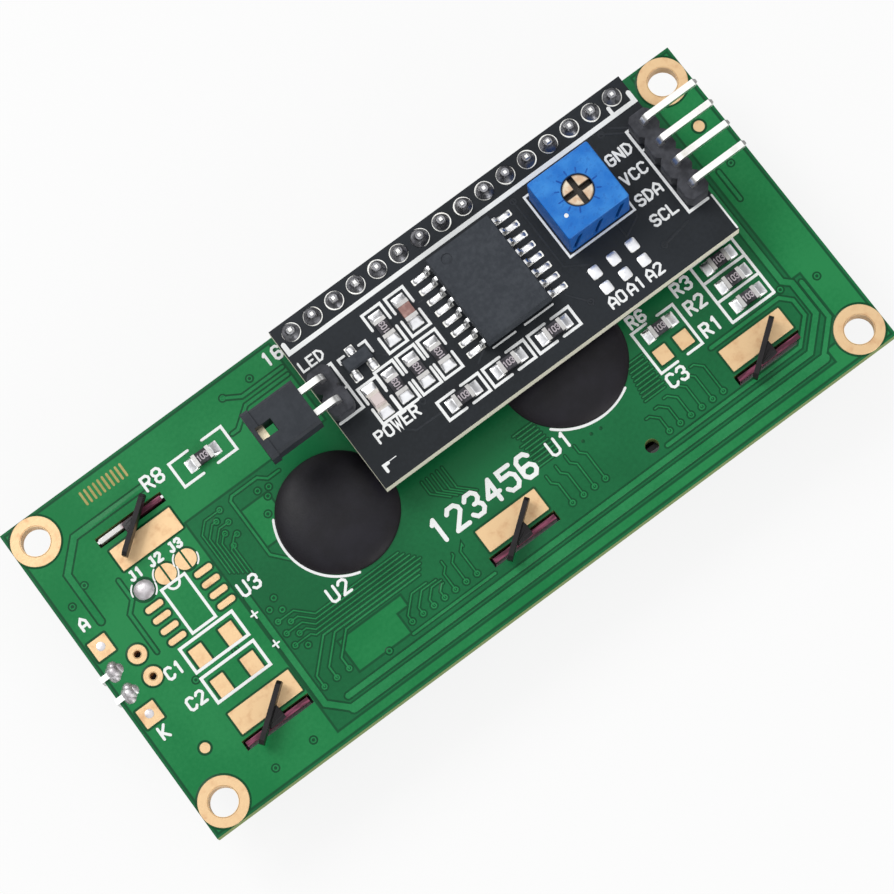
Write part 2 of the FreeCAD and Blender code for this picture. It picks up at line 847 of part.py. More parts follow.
# Trimmer
def make_trimmer():
    """Moulded case, resistive plate, turning screw with a flange, sprung wiper and three pins."""
    x, y = on_backpack(trimmer_u, trimmer_v)
    top = backpack_top + trimmer_height
    roof_low = top - trimmer_roof
    case = box(x, y, backpack_top, trimmer_size_x, trimmer_size_y, trimmer_height)
    rounded = [e for e in case.Edges if e.BoundBox.ZMax > top - trimmer_edge_r]
    case = case.makeFillet(trimmer_edge_r, rounded)
    plate_low = backpack_top + element_sink
    plate_top = plate_low + element_thick
    tools = [
        box(x, y, backpack_top, element_length, element_width, plate_top - backpack_top),
        rod(x, y, plate_top, trimmer_cavity_d, roof_low - plate_top),
        rod(x, y, roof_low, rotor_d + 2 * rotor_gap, trimmer_roof),
    ]
    groove_low = backpack_top + trimmer_groove_base
    front = y - trimmer_size_y / 2
    for i in (-1, 0, 1):
        left = x + i * trimmer_groove_pitch - trimmer_groove_width - trimmer_groove_lean / 2
        slope = (
            Vec(left, front, groove_low),
            Vec(left + trimmer_groove_width, front, groove_low),
            Vec(left + trimmer_groove_width + trimmer_groove_lean, front, groove_low + trimmer_groove_height),
            Vec(left + trimmer_groove_lean, front, groove_low + trimmer_groove_height),
        )
        tools.append(prism(slope, ALONG_Y * trimmer_groove_depth))
    add("trimmer_body", cut(case, tools))

    flange_top = roof_low - rotor_gap
    flange_low = flange_top - rotor_flange_thick
    rotor_top = top - rotor_top_sink
    flange = rod(x, y, flange_low, rotor_flange_d, rotor_flange_thick)
    screw = rod(x, y, flange_top, rotor_d, rotor_top - flange_top)
    slot_low = rotor_top - rotor_slot_depth
    slots = [
        box(x, y, slot_low, rotor_d, rotor_slot_width, rotor_slot_depth),
        box(x, y, slot_low, rotor_slot_width, rotor_d, rotor_slot_depth),
    ]
    add("trimmer_rotor", cut(fuse([flange, screw]), slots))

    add("trimmer_element", box(x, y, plate_low, element_length, element_width, element_thick))
    pins = []
    joints = []
    tail = backpack_bottom - tail_below
    for px, py in trimmer_pin_places():
        pin = rod(px, py, tail, trimmer_pin_d, plate_low - tail)
        pins.append(pin)
        joints.append(joint(px, py, backpack_bottom, -joint_height, pin))
    add("trimmer_pins", pins)

    blade_low = flange_low - wiper_thick
    half = wiper_length / 2
    touch = plate_top + wiper_gap
    side = y - wiper_width / 2
    profile = (
        Vec(x - half, side, flange_low),
        Vec(x - half, side, blade_low),
        Vec(x, side, blade_low),
        Vec(x + half - wiper_thick, side, touch),
        Vec(x + half, side, touch),
        Vec(x + wiper_thick, side, blade_low),
        Vec(x + wiper_thick, side, flange_low),
    )
    add("trimmer_wiper", prism(profile, ALONG_Y * wiper_width))
    return joints


# Jumper cap
def make_jumper(places):
    """Moulded cap with a window and a grip, and the sprung contact that joins two pins inside it."""
    x = places[0][0]
    middle = (places[0][1] + places[-1][1]) / 2
    level = backpack_top + bent_pin_height
    mouth = x - strip_width / 2 - cap_pull
    end = mouth - cap_length
    low = level - cap_height / 2
    body_x = (mouth + end) / 2
    body = box(body_x, middle, low, cap_length, cap_width, cap_height)
    body = body.makeChamfer(cap_edge, [e for e in body.Edges if e.BoundBox.XLength > cap_length / 2])
    grip = box(
        end + cap_grip_length / 2, middle, low - cap_grip_proud, cap_grip_length,
        cap_width + 2 * cap_grip_proud, cap_height + 2 * cap_grip_proud,
    )
    grip = grip.makeChamfer(cap_edge, [e for e in grip.Edges if e.BoundBox.XLength > cap_grip_length / 2])
    window_x = end + cap_end_wall + cap_window_length / 2
    deep = cap_height + 2 * (cap_grip_proud + cap_edge)
    window = box(window_x, middle, level - deep / 2, cap_window_length, cap_window_width, deep)
    inner = pin_side + 2 * sleeve_gap
    outer = inner + 2 * sleeve_wall
    sleeve_end = end + cap_end_wall
    sleeve_length = mouth - sleeve_recess - sleeve_end
    sleeve_x = sleeve_end + sleeve_length / 2
    sleeves = []
    bores = []
    mouths = []
    for _, y in places:
        sleeves.append(box(sleeve_x, y, level - outer / 2, sleeve_length, outer, outer))
        bores.append(box(sleeve_x, y, level - inner / 2, sleeve_length, inner, inner))
        mouths.append(box(mouth - sleeve_recess / 2, y, level - outer / 2, sleeve_recess, outer, outer))
    bridge_x = sleeve_end + bridge_length / 2
    bridge_room = pitch - outer
    bridge = box(bridge_x, middle, level - bridge_thick / 2, bridge_length, bridge_room, bridge_thick)
    add("jumper_contact", cut(fuse(sleeves + [bridge]), bores))
    add("jumper_cap", cut(fuse([body, grip]), [window] + sleeves + mouths + [bridge]))


def build():
    """Makes every node and writes it to its own file."""
    plugs = make_main_board()
    make_bezel()
    make_display()
    make_leads()
    add("chip_dome_left", make_dome(dome_left_x, dome_left_y, dome_left_d))
    add("chip_dome_right", make_dome(dome_right_x, dome_right_y, dome_right_d))
    make_chips(plugs)
    bus_places = header_places(bus_pin_count, bus_v, backpack_right - header_inset)
    jumper_places = header_places(jumper_pin_count, jumper_v, backpack_left + header_inset)
    make_backpack(bus_places, jumper_places)
    make_interface()
    below = make_header("bus_header", bus_places, 1)
    below += make_header("jumper_header", jumper_places, -1)
    make_expander()
    make_transistor()
    make_indicator()
    below += make_trimmer()
    add("backpack_solder_below", below)
    make_jumper(jumper_places)
    os.makedirs("parts", exist_ok=True)
    for name, solids in nodes.items():
        shape = solids[0] if len(solids) == 1 else Part.makeCompound(solids)
        shape.exportStep(os.path.join("parts", name + ".step"))


build()
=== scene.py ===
import json
import math

import bmesh
import bpy
import numpy as np
from mathutils import Matrix, Vector


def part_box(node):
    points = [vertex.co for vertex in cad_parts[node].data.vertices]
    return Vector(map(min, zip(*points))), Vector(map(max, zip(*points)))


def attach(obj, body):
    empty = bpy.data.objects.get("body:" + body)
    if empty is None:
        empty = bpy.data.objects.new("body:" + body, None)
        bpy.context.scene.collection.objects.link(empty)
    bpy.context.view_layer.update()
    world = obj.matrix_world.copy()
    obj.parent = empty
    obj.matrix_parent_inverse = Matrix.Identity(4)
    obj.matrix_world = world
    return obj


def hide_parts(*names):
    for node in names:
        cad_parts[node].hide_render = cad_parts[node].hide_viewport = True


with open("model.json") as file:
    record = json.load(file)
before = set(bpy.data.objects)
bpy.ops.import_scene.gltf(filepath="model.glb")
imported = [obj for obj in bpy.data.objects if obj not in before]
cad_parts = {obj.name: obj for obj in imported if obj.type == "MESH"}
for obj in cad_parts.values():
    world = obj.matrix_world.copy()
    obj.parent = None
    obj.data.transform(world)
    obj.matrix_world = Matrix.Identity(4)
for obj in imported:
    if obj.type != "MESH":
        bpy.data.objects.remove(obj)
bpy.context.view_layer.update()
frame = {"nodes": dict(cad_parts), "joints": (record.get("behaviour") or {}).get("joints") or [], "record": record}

# Lengths are in millimetres here and become metres when a mesh is made
MM = 0.001
dice = np.random.default_rng(7)


def corners(node):
    """Lowest and highest corner of a node, in millimetres."""
    low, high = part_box(node)
    return np.array(low) / MM, np.array(high) / MM


# Places that follow from the frame
board_low, board_high = corners("main_pcb")
slate_low, slate_high = corners("backpack_pcb")
bezel_low = corners("bezel")[0]
chip_low, chip_high = corners("expander_body")
case_low, case_high = corners("trimmer_body")
row_low, row_high = corners("interface_pins")
screw_x, screw_y, _ = np.array(next(j["pos_m"] for j in frame["joints"] if j["name"] == "trimmer_turn")) / MM
green_top = board_high[2]
green_front = board_low[2]
slate_top = slate_high[2]
slate_under = slate_low[2]
row_y = (row_low[1] + row_high[1]) / 2
pin_pitch = 2.54
pin_count = 16
pin_side = 0.64
lead_pitch = 1.27
last_pin_x = row_low[0] + pin_side / 2
row_x = [row_high[0] - pin_side / 2 - pin_pitch * i for i in range(pin_count)]


def on_slate(u, v):
    """Place on the interface board: u from the last pin, v from the pin row."""
    return last_pin_x + u, row_y + v


# Colours
def tint(red, green, blue):
    """A colour given as 0 to 255 on screen, as the linear values that a shader takes."""
    share = np.array([red, green, blue]) / 255.0
    linear = np.where(share <= 0.04045, share / 12.92, ((share + 0.055) / 1.055) ** 2.4)
    return (*linear.tolist(), 1.0)


def darker(colour, share):
    return tuple(share * part for part in colour[:3]) + (1.0,)


# Shader arithmetic
class Value:
    """A socket that can be used in a Python expression; each operation adds a Math node."""

    def __init__(self, finish, socket):
        self.finish = finish
        self.socket = socket

    def sum(self, operation, *terms):
        return self.finish.node("ShaderNodeMath", {"operation": operation}, terms)[0]

    def __add__(self, other):
        return self.sum("ADD", self, other)

    def __sub__(self, other):
        return self.sum("SUBTRACT", self, other)

    def __rsub__(self, other):
        return self.sum("SUBTRACT", other, self)

    def __mul__(self, other):
        return self.sum("MULTIPLY", self, other)

    def __abs__(self):
        return self.sum("ABSOLUTE", self)

    def above(self, level):
        """1 where the value is over the level, else 0."""
        return self.sum("GREATER_THAN", self, level)

    def below(self, level):
        return self.sum("LESS_THAN", self, level)

    def sine(self):
        return self.sum("SINE", self)

    def wave(self, per_mm):
        """A sine wave along the value, from 0 to 1."""
        return (self * per_mm).sine() * 0.5 + 0.5

    def wrapped(self, span):
        """The value's remainder after whole spans, never negative."""
        return self.sum("FLOORED_MODULO", self, span)

    def ramp(self, low, high):
        """0 below low, 1 above high and smooth between."""
        sockets = {"Value": self, "From Min": low, "From Max": high}
        return self.finish.node("ShaderNodeMapRange", {"interpolation_type": "SMOOTHSTEP"}, sockets)[0]


class Nodes:
    """One node tree: nodes are added by method calls and by arithmetic on their sockets."""

    def __init__(self, tree):
        self.tree = tree

    def node(self, kind, settings=None, values=()):
        """Adds a node: settings first, then the values or links of its sockets; returns its outputs."""
        made = self.tree.nodes.new(kind)
        for key, setting in (settings or {}).items():
            setattr(made, key, setting)
        pairs = values.items() if isinstance(values, dict) else enumerate(values)
        for key, value in pairs:
            if isinstance(value, Value):
                self.tree.links.new(value.socket, made.inputs[key])
            else:
                made.inputs[key].default_value = value
        return [Value(self, socket) for socket in made.outputs if socket.enabled]

    def source(self, kind, output):
        """One named output of a node that takes nothing in."""
        return Value(self, self.tree.nodes.new(kind).outputs[output])

    def larger(self, first, second):
        return first.sum("MAXIMUM", first, second)

    def smaller(self, first, second):
        return first.sum("MINIMUM", first, second)


class Finish(Nodes):
    """One material on the plain surface shader."""

    def __init__(self, name, colour, roughness=0.5, metallic=0.0, **constants):
        self.material = bpy.data.materials.new(name)
        self.material.use_nodes = True
        super().__init__(self.material.node_tree)
        self.shader = self.tree.nodes["Principled BSDF"]
        self.normal = None
        self.set("Base Color", colour)
        self.set("Roughness", roughness)
        self.set("Metallic", metallic)
        for socket, value in constants.items():
            self.set(socket.replace("_", " "), value)

    def set(self, socket, value):
        """Gives one of the surface's own sockets a constant or a link."""
        if isinstance(value, Value):
            self.tree.links.new(value.socket, self.shader.inputs[socket])
        else:
            self.shader.inputs[socket].default_value = value

    def place(self):
        """The point on the object, in millimetres."""
        point = self.source("ShaderNodeTexCoord", "Object")
        return self.node("ShaderNodeVectorMath", {"operation": "SCALE"}, {0: point, "Scale": 1 / MM})[0]

    def axes(self):
        """The point's x, y and z, in millimetres."""
        return self.node("ShaderNodeSeparateXYZ", None, [self.place()])

    def facing(self):
        """The x, y and z of the surface's own direction."""
        return self.node("ShaderNodeSeparateXYZ", None, [self.source("ShaderNodeTexCoord", "Normal")])

    def noise(self, per_mm, detail=3.0, stretch=(1, 1, 1)):
        """Soft noise from 0 to 1, with that many waves a millimetre."""
        point = self.node("ShaderNodeMapping", None, {"Vector": self.place(), "Scale": stretch})[0]
        sockets = {"Vector": point, "Scale": per_mm, "Detail": detail, "Roughness": 0.55}
        return self.node("ShaderNodeTexNoise", None, sockets)[0]

    def grains(self, per_mm):
        """Distance to the nearest grain's centre."""
        return self.node("ShaderNodeTexVoronoi", None, {"Vector": self.place(), "Scale": per_mm})[0]

    def mix(self, share, first, second):
        """A colour between two, by share."""
        made = self.tree.nodes.new("ShaderNodeMix")
        made.data_type = "RGBA"
        for key, value in (("Factor_Float", share), ("A_Color", first), ("B_Color", second)):
            socket = next(s for s in made.inputs if s.identifier == key)
            if isinstance(value, Value):
                self.tree.links.new(value.socket, socket)
            else:
                socket.default_value = value
        return Value(self, next(s for s in made.outputs if s.identifier == "Result_Color"))

    def round_edges(self, radius):
        """Edges catch light as if they were rounded by the radius."""
        self.normal = self.node("ShaderNodeBevel", {"samples": 4}, {"Radius": radius * MM})[0]

    def dress(self, colour, roughness, height, depth):
        """Colour, roughness and relief, where a height from 0 to 1 stands for the depth in millimetres."""
        self.set("Base Color", colour)
        self.set("Roughness", roughness)
        sockets = {"Height": height, "Distance": depth * MM, "Strength": 1.0}
        if self.normal is not None:
            sockets["Normal"] = self.normal
        self.set("Normal", self.node("ShaderNodeBump", None, sockets)[0])


# Copper areas of the main board: lowest x and y, highest x and y; those that overlap are one area
board_edge = 0.45
area_left, area_bottom = board_low[:2] + board_edge
area_right, area_top = board_high[:2] - board_edge
COPPER_AREAS = [
    (area_left, area_bottom, -25.1, area_top),
    (-30.0, 8.4, -8.4, area_top),
    (area_left, area_bottom, area_right, -16.75),
    (36.5, area_bottom, area_right, area_top),
    (35.45, -7.6, area_right, area_top),
    (33.9, area_bottom, area_right, -15.25),
    (-19.9, -13.2, -14.0, -9.8),
    (-15.0, -10.9, -12.7, -9.8),
    (-19.95, 1.7, -17.0, 5.9),
]


# Finishes
def mask_finish(name, deep, light, edge, roughness, areas=(), copper=(), rim=None):
    """Lacquer over woven glass: cloudy colour, fine weave, and layered fibre where the board is cut. Copper
    areas are lighter rectangles with a dark rim: the distance to each is the larger of its overhangs."""
    finish = Finish(name, deep, roughness, Specular_IOR_Level=0.2)
    x, y, z = finish.axes()
    shade = (finish.noise(0.07, 2.0) * 0.75 + finish.noise(2.6, 2.0) * 0.25).ramp(0.36, 0.64)
    lacquer = finish.mix(shade, deep, light)
    near = None
    for x0, y0, x1, y1 in areas:
        over_x = abs(x - (x0 + x1) / 2) - (x1 - x0) / 2
        over_y = abs(y - (y0 + y1) / 2) - (y1 - y0) / 2
        distance = finish.larger(over_x, over_y)
        near = distance if near is None else finish.smaller(near, distance)
    if near is not None:
        lacquer = finish.mix(1.0 - near.ramp(-0.06, 0.02), lacquer, finish.mix(shade, *copper))
        lacquer = finish.mix((1.0 - abs(near - 0.12).ramp(0.05, 0.16)) * 0.75, lacquer, rim)
    fibre = finish.mix(z.wave(42.0) * 0.45 + finish.noise(4.0) * 0.3, edge, darker(edge, 0.62))
    cut_face = abs(finish.facing()[2]).below(0.5)
    weave = (x * 9.0).sine() * (y * 9.0).sine() * 0.5 + 0.5
    finish.dress(finish.mix(cut_face, lacquer, fibre),
                 finish.noise(0.9) * 0.12 + (roughness - 0.05) + cut_face * 0.35,
                 weave * 0.2 + finish.noise(1.1) * 0.8, 0.008)
    return finish


def track_finish(name, deep, light, roughness):
    """Lacquer over copper: the same colour, smoother and a shade brighter along worn etching."""
    finish = Finish(name, light, roughness, Specular_IOR_Level=0.2)
    shade = (finish.noise(0.25) * 0.6 + finish.noise(3.5) * 0.4).ramp(0.3, 0.7)
    finish.dress(finish.mix(shade, deep, light),
                 finish.noise(1.2) * 0.12 + (roughness - 0.05), finish.noise(2.2), 0.01)
    return finish


def metal_finish(name, bright, dull, roughness, grain, depth, tarnish=0.35, metallic=1.0):
    """Bare metal with cloudy tarnish, fine grain and uneven polish."""
    finish = Finish(name, bright, roughness, metallic)
    tarnished = finish.noise(0.8, 4.0).ramp(0.62 - tarnish * 0.5, 0.95)
    finish.dress(finish.mix(tarnished, bright, dull),
                 finish.noise(grain) * 0.22 + (roughness - 0.08) + tarnished * 0.15,
                 finish.noise(grain * 1.5, 4.0), depth)
    return finish


def moulded_finish(name, deep, light, roughness, grain, depth, edge=0.06, specular=0.25):
    """Moulded plastic or resin: fine spark-eroded grain, faint cloudiness and softened edges."""
    finish = Finish(name, deep, roughness, Specular_IOR_Level=specular)
    finish.round_edges(edge)
    shade = finish.noise(0.5, 3.0) * 0.5 + finish.noise(grain * 0.5) * 0.5
    finish.dress(finish.mix(shade.ramp(0.35, 0.7), deep, light),
                 finish.noise(grain * 0.3) * 0.16 + (roughness - 0.06), finish.grains(grain), depth)
    return finish


def print_finish(name, colour, worn):
    """Screen-printed ink: slightly rough, thin at its specks."""
    finish = Finish(name, colour, Specular_IOR_Level=0.3)
    thin = finish.noise(5.0, 3.0).ramp(0.6, 0.85)
    finish.dress(finish.mix(thin * 0.6, colour, worn), 0.55, finish.noise(7.0), 0.01)
    return finish


def clear_finish(name, colour, roughness, transmission):
    """Clear glass or acrylic with a faint tint and hardly uneven faces."""
    finish = Finish(name, colour, roughness, Transmission_Weight=transmission, IOR=1.5)
    finish.dress(finish.mix(finish.noise(0.3), colour, darker(colour, 0.93)),
                 finish.noise(0.8) * 0.05 + roughness, finish.noise(0.4), 0.01)
    return finish


def potting_finish():
    """Black potting: satin, softly uneven, with a browner skin towards its thin rim."""
    finish = Finish("potting_black", tint(20, 19, 24), 0.42, Specular_IOR_Level=0.28)
    rim = 1.0 - finish.axes()[2].ramp(green_top + 0.05, green_top + 0.9)
    skin = finish.mix(finish.noise(0.35, 3.0).ramp(0.3, 0.75), tint(16, 14, 20), tint(28, 26, 34))
    finish.dress(finish.mix(rim * 0.7, skin, tint(34, 28, 33)), finish.noise(0.6) * 0.2 + 0.4,
                 finish.noise(0.55, 4.0) * 0.8 + finish.noise(5.0) * 0.2, 0.05)
    return finish


def bezel_finish():
    """Blackened sheet steel: thin satin coat, faint rolling marks, a painted maroon reflection with pink
    highlight streaks where tabs pass the board, and a painted white highlight on the left of the upper tab's
    strap."""
    finish = Finish("bezel_black", tint(30, 28, 30), 0.38, 0.35, Specular_IOR_Level=0.45)
    finish.round_edges(0.08)
    x, y, z = finish.axes()
    marks = finish.noise(1.4, 3.0, stretch=(0.08, 1.6, 1.6))
    cloud = (marks * 0.5 + finish.noise(0.4, 3.0) * 0.5).ramp(0.35, 0.7)
    coat = finish.mix(cloud, tint(24, 23, 25), tint(44, 40, 43))
    coat = finish.mix(z.ramp(green_top + 0.2, green_top + 0.3) * 0.65, coat, tint(20, 14, 17))
    strap = z.ramp(green_top - 1.2, green_top - 0.5) * (1.0 - z.ramp(green_top + 0.16, green_top + 0.22))
    # Painted reflection: a maroon tone with pink highlight streaks on the tab straps where they pass the board
    highlight_streaks = finish.noise(1.3, 3.0, stretch=(0.4, 2.5, 1)).ramp(0.4, 0.7)
    strap_reflection = finish.mix(highlight_streaks, tint(84, 30, 50), tint(156, 78, 106))
    # Painted highlight: near white on the left part of the upper tab's strap
    bare = y.above(0.0) * (1.0 - x.ramp(-30.3, -29.7))
    strap_reflection = finish.mix(bare * 0.9, strap_reflection, tint(238, 238, 234))
    finish.dress(finish.mix(strap * 0.92, coat, strap_reflection), marks * 0.2 + 0.26,
                 marks * 0.5 + finish.noise(6.0) * 0.5, 0.012)
    return finish


def viewing_film_finish():
    """Front polariser over the cell: dark grey-green, with the faint grid of the character places."""
    columns = 16
    rows = 2
    view_length = 56.2
    view_width = 11.5
    cell_x = view_length / columns
    cell_y = view_width / rows
    finish = Finish("film_dark", tint(52, 62, 54), 0.12, Specular_IOR_Level=0.5, Coat_Weight=0.4)
    x, y, _ = finish.axes()
    low, high = corners("front_polariser")
    middle = (low + high) / 2
    across = (x - (middle[0] - view_length / 2)).wrapped(cell_x)
    up = (y - (middle[1] - view_width / 2)).wrapped(cell_y)
    inside_view = abs(x - middle[0]).below(view_length / 2) * abs(y - middle[1]).below(view_width / 2)
    inside_cell = across.ramp(0.2, 0.3) * (1.0 - across.ramp(cell_x - 0.3, cell_x - 0.2))
    inside_row = up.ramp(0.25, 0.35) * (1.0 - up.ramp(cell_y - 0.35, cell_y - 0.25))
    dots = x.wave(9.6).ramp(0.1, 0.3) * y.wave(9.6).ramp(0.1, 0.3)
    film = finish.mix(finish.noise(0.2), tint(50, 60, 52), tint(58, 68, 58))
    share = inside_view * inside_cell * inside_row * (dots * 0.35 + 0.45)
    finish.dress(finish.mix(share, film, tint(66, 74, 58)),
                 finish.noise(1.0) * 0.06 + 0.08, finish.noise(0.15), 0.03)
    return finish


# The trimmer's screw where it shows above its flange, and half the width of its cross slot
screw_radius = 1.5
slot_half = 0.32


def from_screw(finish):
    """How far a point lies from the screw's axis along x and along y, and its distance squared."""
    x, y, _ = finish.axes()
    across = x - screw_x
    along = y - screw_y
    return across, along, across * across + along * along


def rotor_finish():
    """Cream moulded screw: painted shade, nearly black, in and beside its cross slot and round its rim."""
    finish = Finish("rotor_cream", tint(236, 214, 176), 0.4, Specular_IOR_Level=0.45)
    finish.round_edges(0.05)
    across, along, square = from_screw(finish)
    # Painted shade: nearly black in and beside the cross slot, and round the screw's rim
    cross = 1.0 - finish.smaller(abs(across), abs(along)).ramp(slot_half - 0.06, slot_half + 0.06)
    rim = square.ramp((screw_radius - 0.18) ** 2, (screw_radius - 0.02) ** 2)
    cloud = finish.mix(finish.noise(1.4).ramp(0.35, 0.7), tint(226, 190, 156), tint(252, 238, 212))
    finish.dress(finish.mix(finish.larger(cross * 0.95, rim * 0.7), cloud, tint(16, 14, 16)),
                 finish.noise(2.0) * 0.2 + 0.3, finish.noise(5.0), 0.02)
    return finish


def trimmer_finish():
    """Blue moulded case: a mottled top, walls painted darker as shade, and painted shade, nearly black, in its
    grooves and round the screw.
    """
    finish = moulded_finish("trimmer_blue", tint(34, 116, 206), tint(52, 136, 222), 0.42, 2.6, 0.02, 0.1)
    y = finish.axes()[1]
    _, forward, up = finish.facing()
    # Painted shade: nearly black in the three grooves of the front wall and in a ring round the screw
    groove_shade = y.above(case_low[1] + 0.2) * y.below(case_low[1] + 0.6) * forward.below(-0.6)
    seat_shade = 1.0 - from_screw(finish)[2].ramp((screw_radius + 0.08) ** 2, (screw_radius + 0.2) ** 2)
    blue = finish.mix(finish.noise(0.5, 3.0).ramp(0.35, 0.7), tint(34, 118, 208), tint(62, 146, 228))
    blue = finish.mix(finish.noise(2.0, 2.0).ramp(0.5, 0.7) * 0.4, blue, tint(16, 84, 176))
    # Painted shade: faces that do not face up are darker than the top
    blue = finish.mix(up.below(0.6) * 0.85, blue, tint(14, 86, 168))
    finish.set("Base Color", finish.mix(finish.larger(groove_shade, seat_shade) * 0.9, blue, tint(8, 24, 52)))
    return finish


finishes = {
    "board_green": mask_finish(
        "board_green", tint(12, 98, 54), tint(22, 112, 64), tint(140, 158, 98), 0.34,
        COPPER_AREAS, (tint(16, 122, 64), tint(36, 136, 76)), tint(2, 68, 36)),
    "board_slate": mask_finish("board_slate", tint(27, 31, 35), tint(38, 42, 47), tint(254, 248, 228), 0.42),
    "cell_glass": clear_finish("cell_glass", tint(214, 226, 218), 0.03, 0.85),
    "guide_clear": clear_finish("guide_clear", tint(240, 246, 246), 0.05, 0.9),
    "indicator_lens": clear_finish("indicator_lens", tint(255, 238, 234), 0.18, 0.2),
    "potting_black": potting_finish(),
    "bezel_black": bezel_finish(),
    "trimmer_blue": trimmer_finish(),
    "rotor_cream": rotor_finish(),
    "film_dark": viewing_film_finish(),
}

# Finishes of one kind: two colours, then what its function asks for
FINISH_TABLES = [
    (track_finish, {
        "channel_green": ((2, 68, 36), (8, 84, 46), 0.4),
        "track_green": ((24, 124, 68), (42, 140, 82), 0.32),
        "track_slate": ((36, 40, 44), (50, 53, 58), 0.4),
        "etched_mark": ((164, 158, 92), (198, 180, 118), 0.4),
    }),
    (metal_finish, {
        "bare_copper": ((236, 200, 153), (206, 152, 108), 0.4, 3.0, 0.012, 0.35, 0.55),
        "plating": ((246, 245, 240), (200, 195, 184), 0.3, 3.0, 0.006),
        "solder": ((248, 248, 250), (200, 198, 202), 0.34, 1.1, 0.02),
        "dull_solder": ((222, 218, 220), (140, 130, 134), 0.4, 2.0, 0.03, 0.6),
        # Painted shade: a darker copy of the solder, for the joints of the pin row
        "row_solder": ((150, 150, 154), (70, 68, 72), 0.3, 2.4, 0.03, 0.6),
        "pin_metal": ((252, 251, 248), (214, 210, 200), 0.3, 3.0, 0.008),
        "tinned_lead": ((248, 248, 248), (200, 199, 198), 0.28, 3.0, 0.006),
        "plated_end": ((196, 194, 192), (150, 148, 146), 0.34, 3.0, 0.008),
        "contact_bronze": ((232, 220, 190), (170, 140, 96), 0.3, 3.0, 0.01),
    }),
    (print_finish, {
        "ink_white": ((254, 255, 254), (238, 242, 238)),
        "value_print": ((190, 180, 186), (130, 120, 128)),
    }),
    (moulded_finish, {
        "header_plastic": ((50, 51, 56), (76, 77, 83), 0.55, 3.0, 0.012),
        "jumper_black": ((44, 48, 54), (54, 58, 64), 0.48, 3.0, 0.01, 0.09),
        "chip_plastic": ((56, 60, 66), (68, 72, 78), 0.6, 4.0, 0.02, 0.05, 0.2),
        "resistor_black": ((34, 33, 36), (82, 80, 86), 0.35, 3.0, 0.01, 0.05),
        "capacitor_brown": ((150, 112, 106), (186, 148, 140), 0.5, 4.0, 0.015, 0.07),
        "element_ceramic": ((226, 224, 216), (240, 238, 232), 0.6, 3.0, 0.01),
        "indicator_base": ((232, 224, 214), (244, 238, 232), 0.45, 4.0, 0.01),
        "trimmer_tick": ((16, 80, 168), (30, 104, 194), 0.45, 2.6, 0.01),
        "rear_film": ((70, 78, 72), (88, 96, 88), 0.25, 1.0, 0.005),
        "film_white": ((238, 238, 234), (248, 248, 246), 0.5, 2.0, 0.005),
        "tray_white": ((232, 232, 228), (246, 246, 242), 0.45, 2.0, 0.012),
        "contact_rubber": ((120, 84, 92), (146, 106, 112), 0.8, 2.0, 0.02),
    }),
]
for make_finish, table in FINISH_TABLES:
    for name, (first_colour, second_colour, *rest) in table.items():
        finishes[name] = make_finish(name, tint(*first_colour), tint(*second_colour), *rest)


# Surfaces
class Relief:
    """Closed surfaces gathered into one piece; each is a grid of points in millimetres."""

    def __init__(self):
        self.points = []
        self.quads = []
        self.total = 0
        self.bands = 0

    def lift(self):
        """A hair's difference of level for each band, so that bands that cross share no face."""
        self.bands += 1
        return (self.bands % 30) * 0.0005

    def surface(self, grid):
        """Adds a grid of rows by columns, whose last column joins its first."""
        grid = np.asarray(grid, float)
        rows, columns = grid.shape[:2]
        index = np.arange(rows * columns).reshape(rows, columns) + self.total
        index = np.hstack([index, index[:, :1]])
        quads = np.stack([index[:-1, :-1], index[:-1, 1:], index[1:, 1:], index[1:, :-1]], axis=-1)
        self.points.append(grid.reshape(-1, 3))
        self.quads.append(quads.reshape(-1, 4))
        self.total += rows * columns

    def piece(self, name, finish, body="module", replaced=(), smooth=40.0):
        """One mesh in metres: doubles merged, faces turned outwards, soft shading up to the angle."""
        mesh = bpy.data.meshes.new(name)
        points = np.concatenate(self.points) * MM
        mesh.from_pydata(points.tolist(), [], np.concatenate(self.quads).tolist())
        shape = bmesh.new()
        shape.from_mesh(mesh)
        bmesh.ops.remove_doubles(shape, verts=shape.verts, dist=1e-4 * MM)
        bmesh.ops.recalc_face_normals(shape, faces=shape.faces)
        shape.to_mesh(mesh)
        shape.free()
        mesh.shade_smooth()
        mesh.set_sharp_from_angle(angle=math.radians(smooth))
        mesh.materials.append(finishes[finish].material)
        made = bpy.data.objects.new(name, mesh)
        bpy.context.scene.collection.objects.link(made)
        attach(made, body)
        if replaced:
            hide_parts(*replaced)


def lathe(relief, x, y, profile, steps, wobble=None):
    """Turns a profile of (radius, height) about an upright axis; wobble scales the radius round the turn."""
    turn = np.linspace(0, 2 * np.pi, steps, endpoint=False)
    profile = np.array(profile, float)
    scale = np.ones(steps) if wobble is None else wobble(turn)
    radius = profile[:, :1] * scale
    height = np.broadcast_to(profile[:, 1:], radius.shape)
    relief.surface(np.stack([x + radius * np.cos(turn), y + radius * np.sin(turn), height], axis=-1))


def ring(relief, x, y, inner, outer, low, high, slope, steps):
    """A flat raised ring with sloping sides."""
    profile = [(inner, low), (outer, low), (outer - slope, high), (inner + slope, high), (inner, low)]
    lathe(relief, x, y, profile, steps)


def disc(relief, x, y, radius, low, high, slope, steps):
    """A flat raised disc with a sloping side."""
    lathe(relief, x, y, [(0, low), (radius, low), (radius - slope, high), (0, high)], steps)


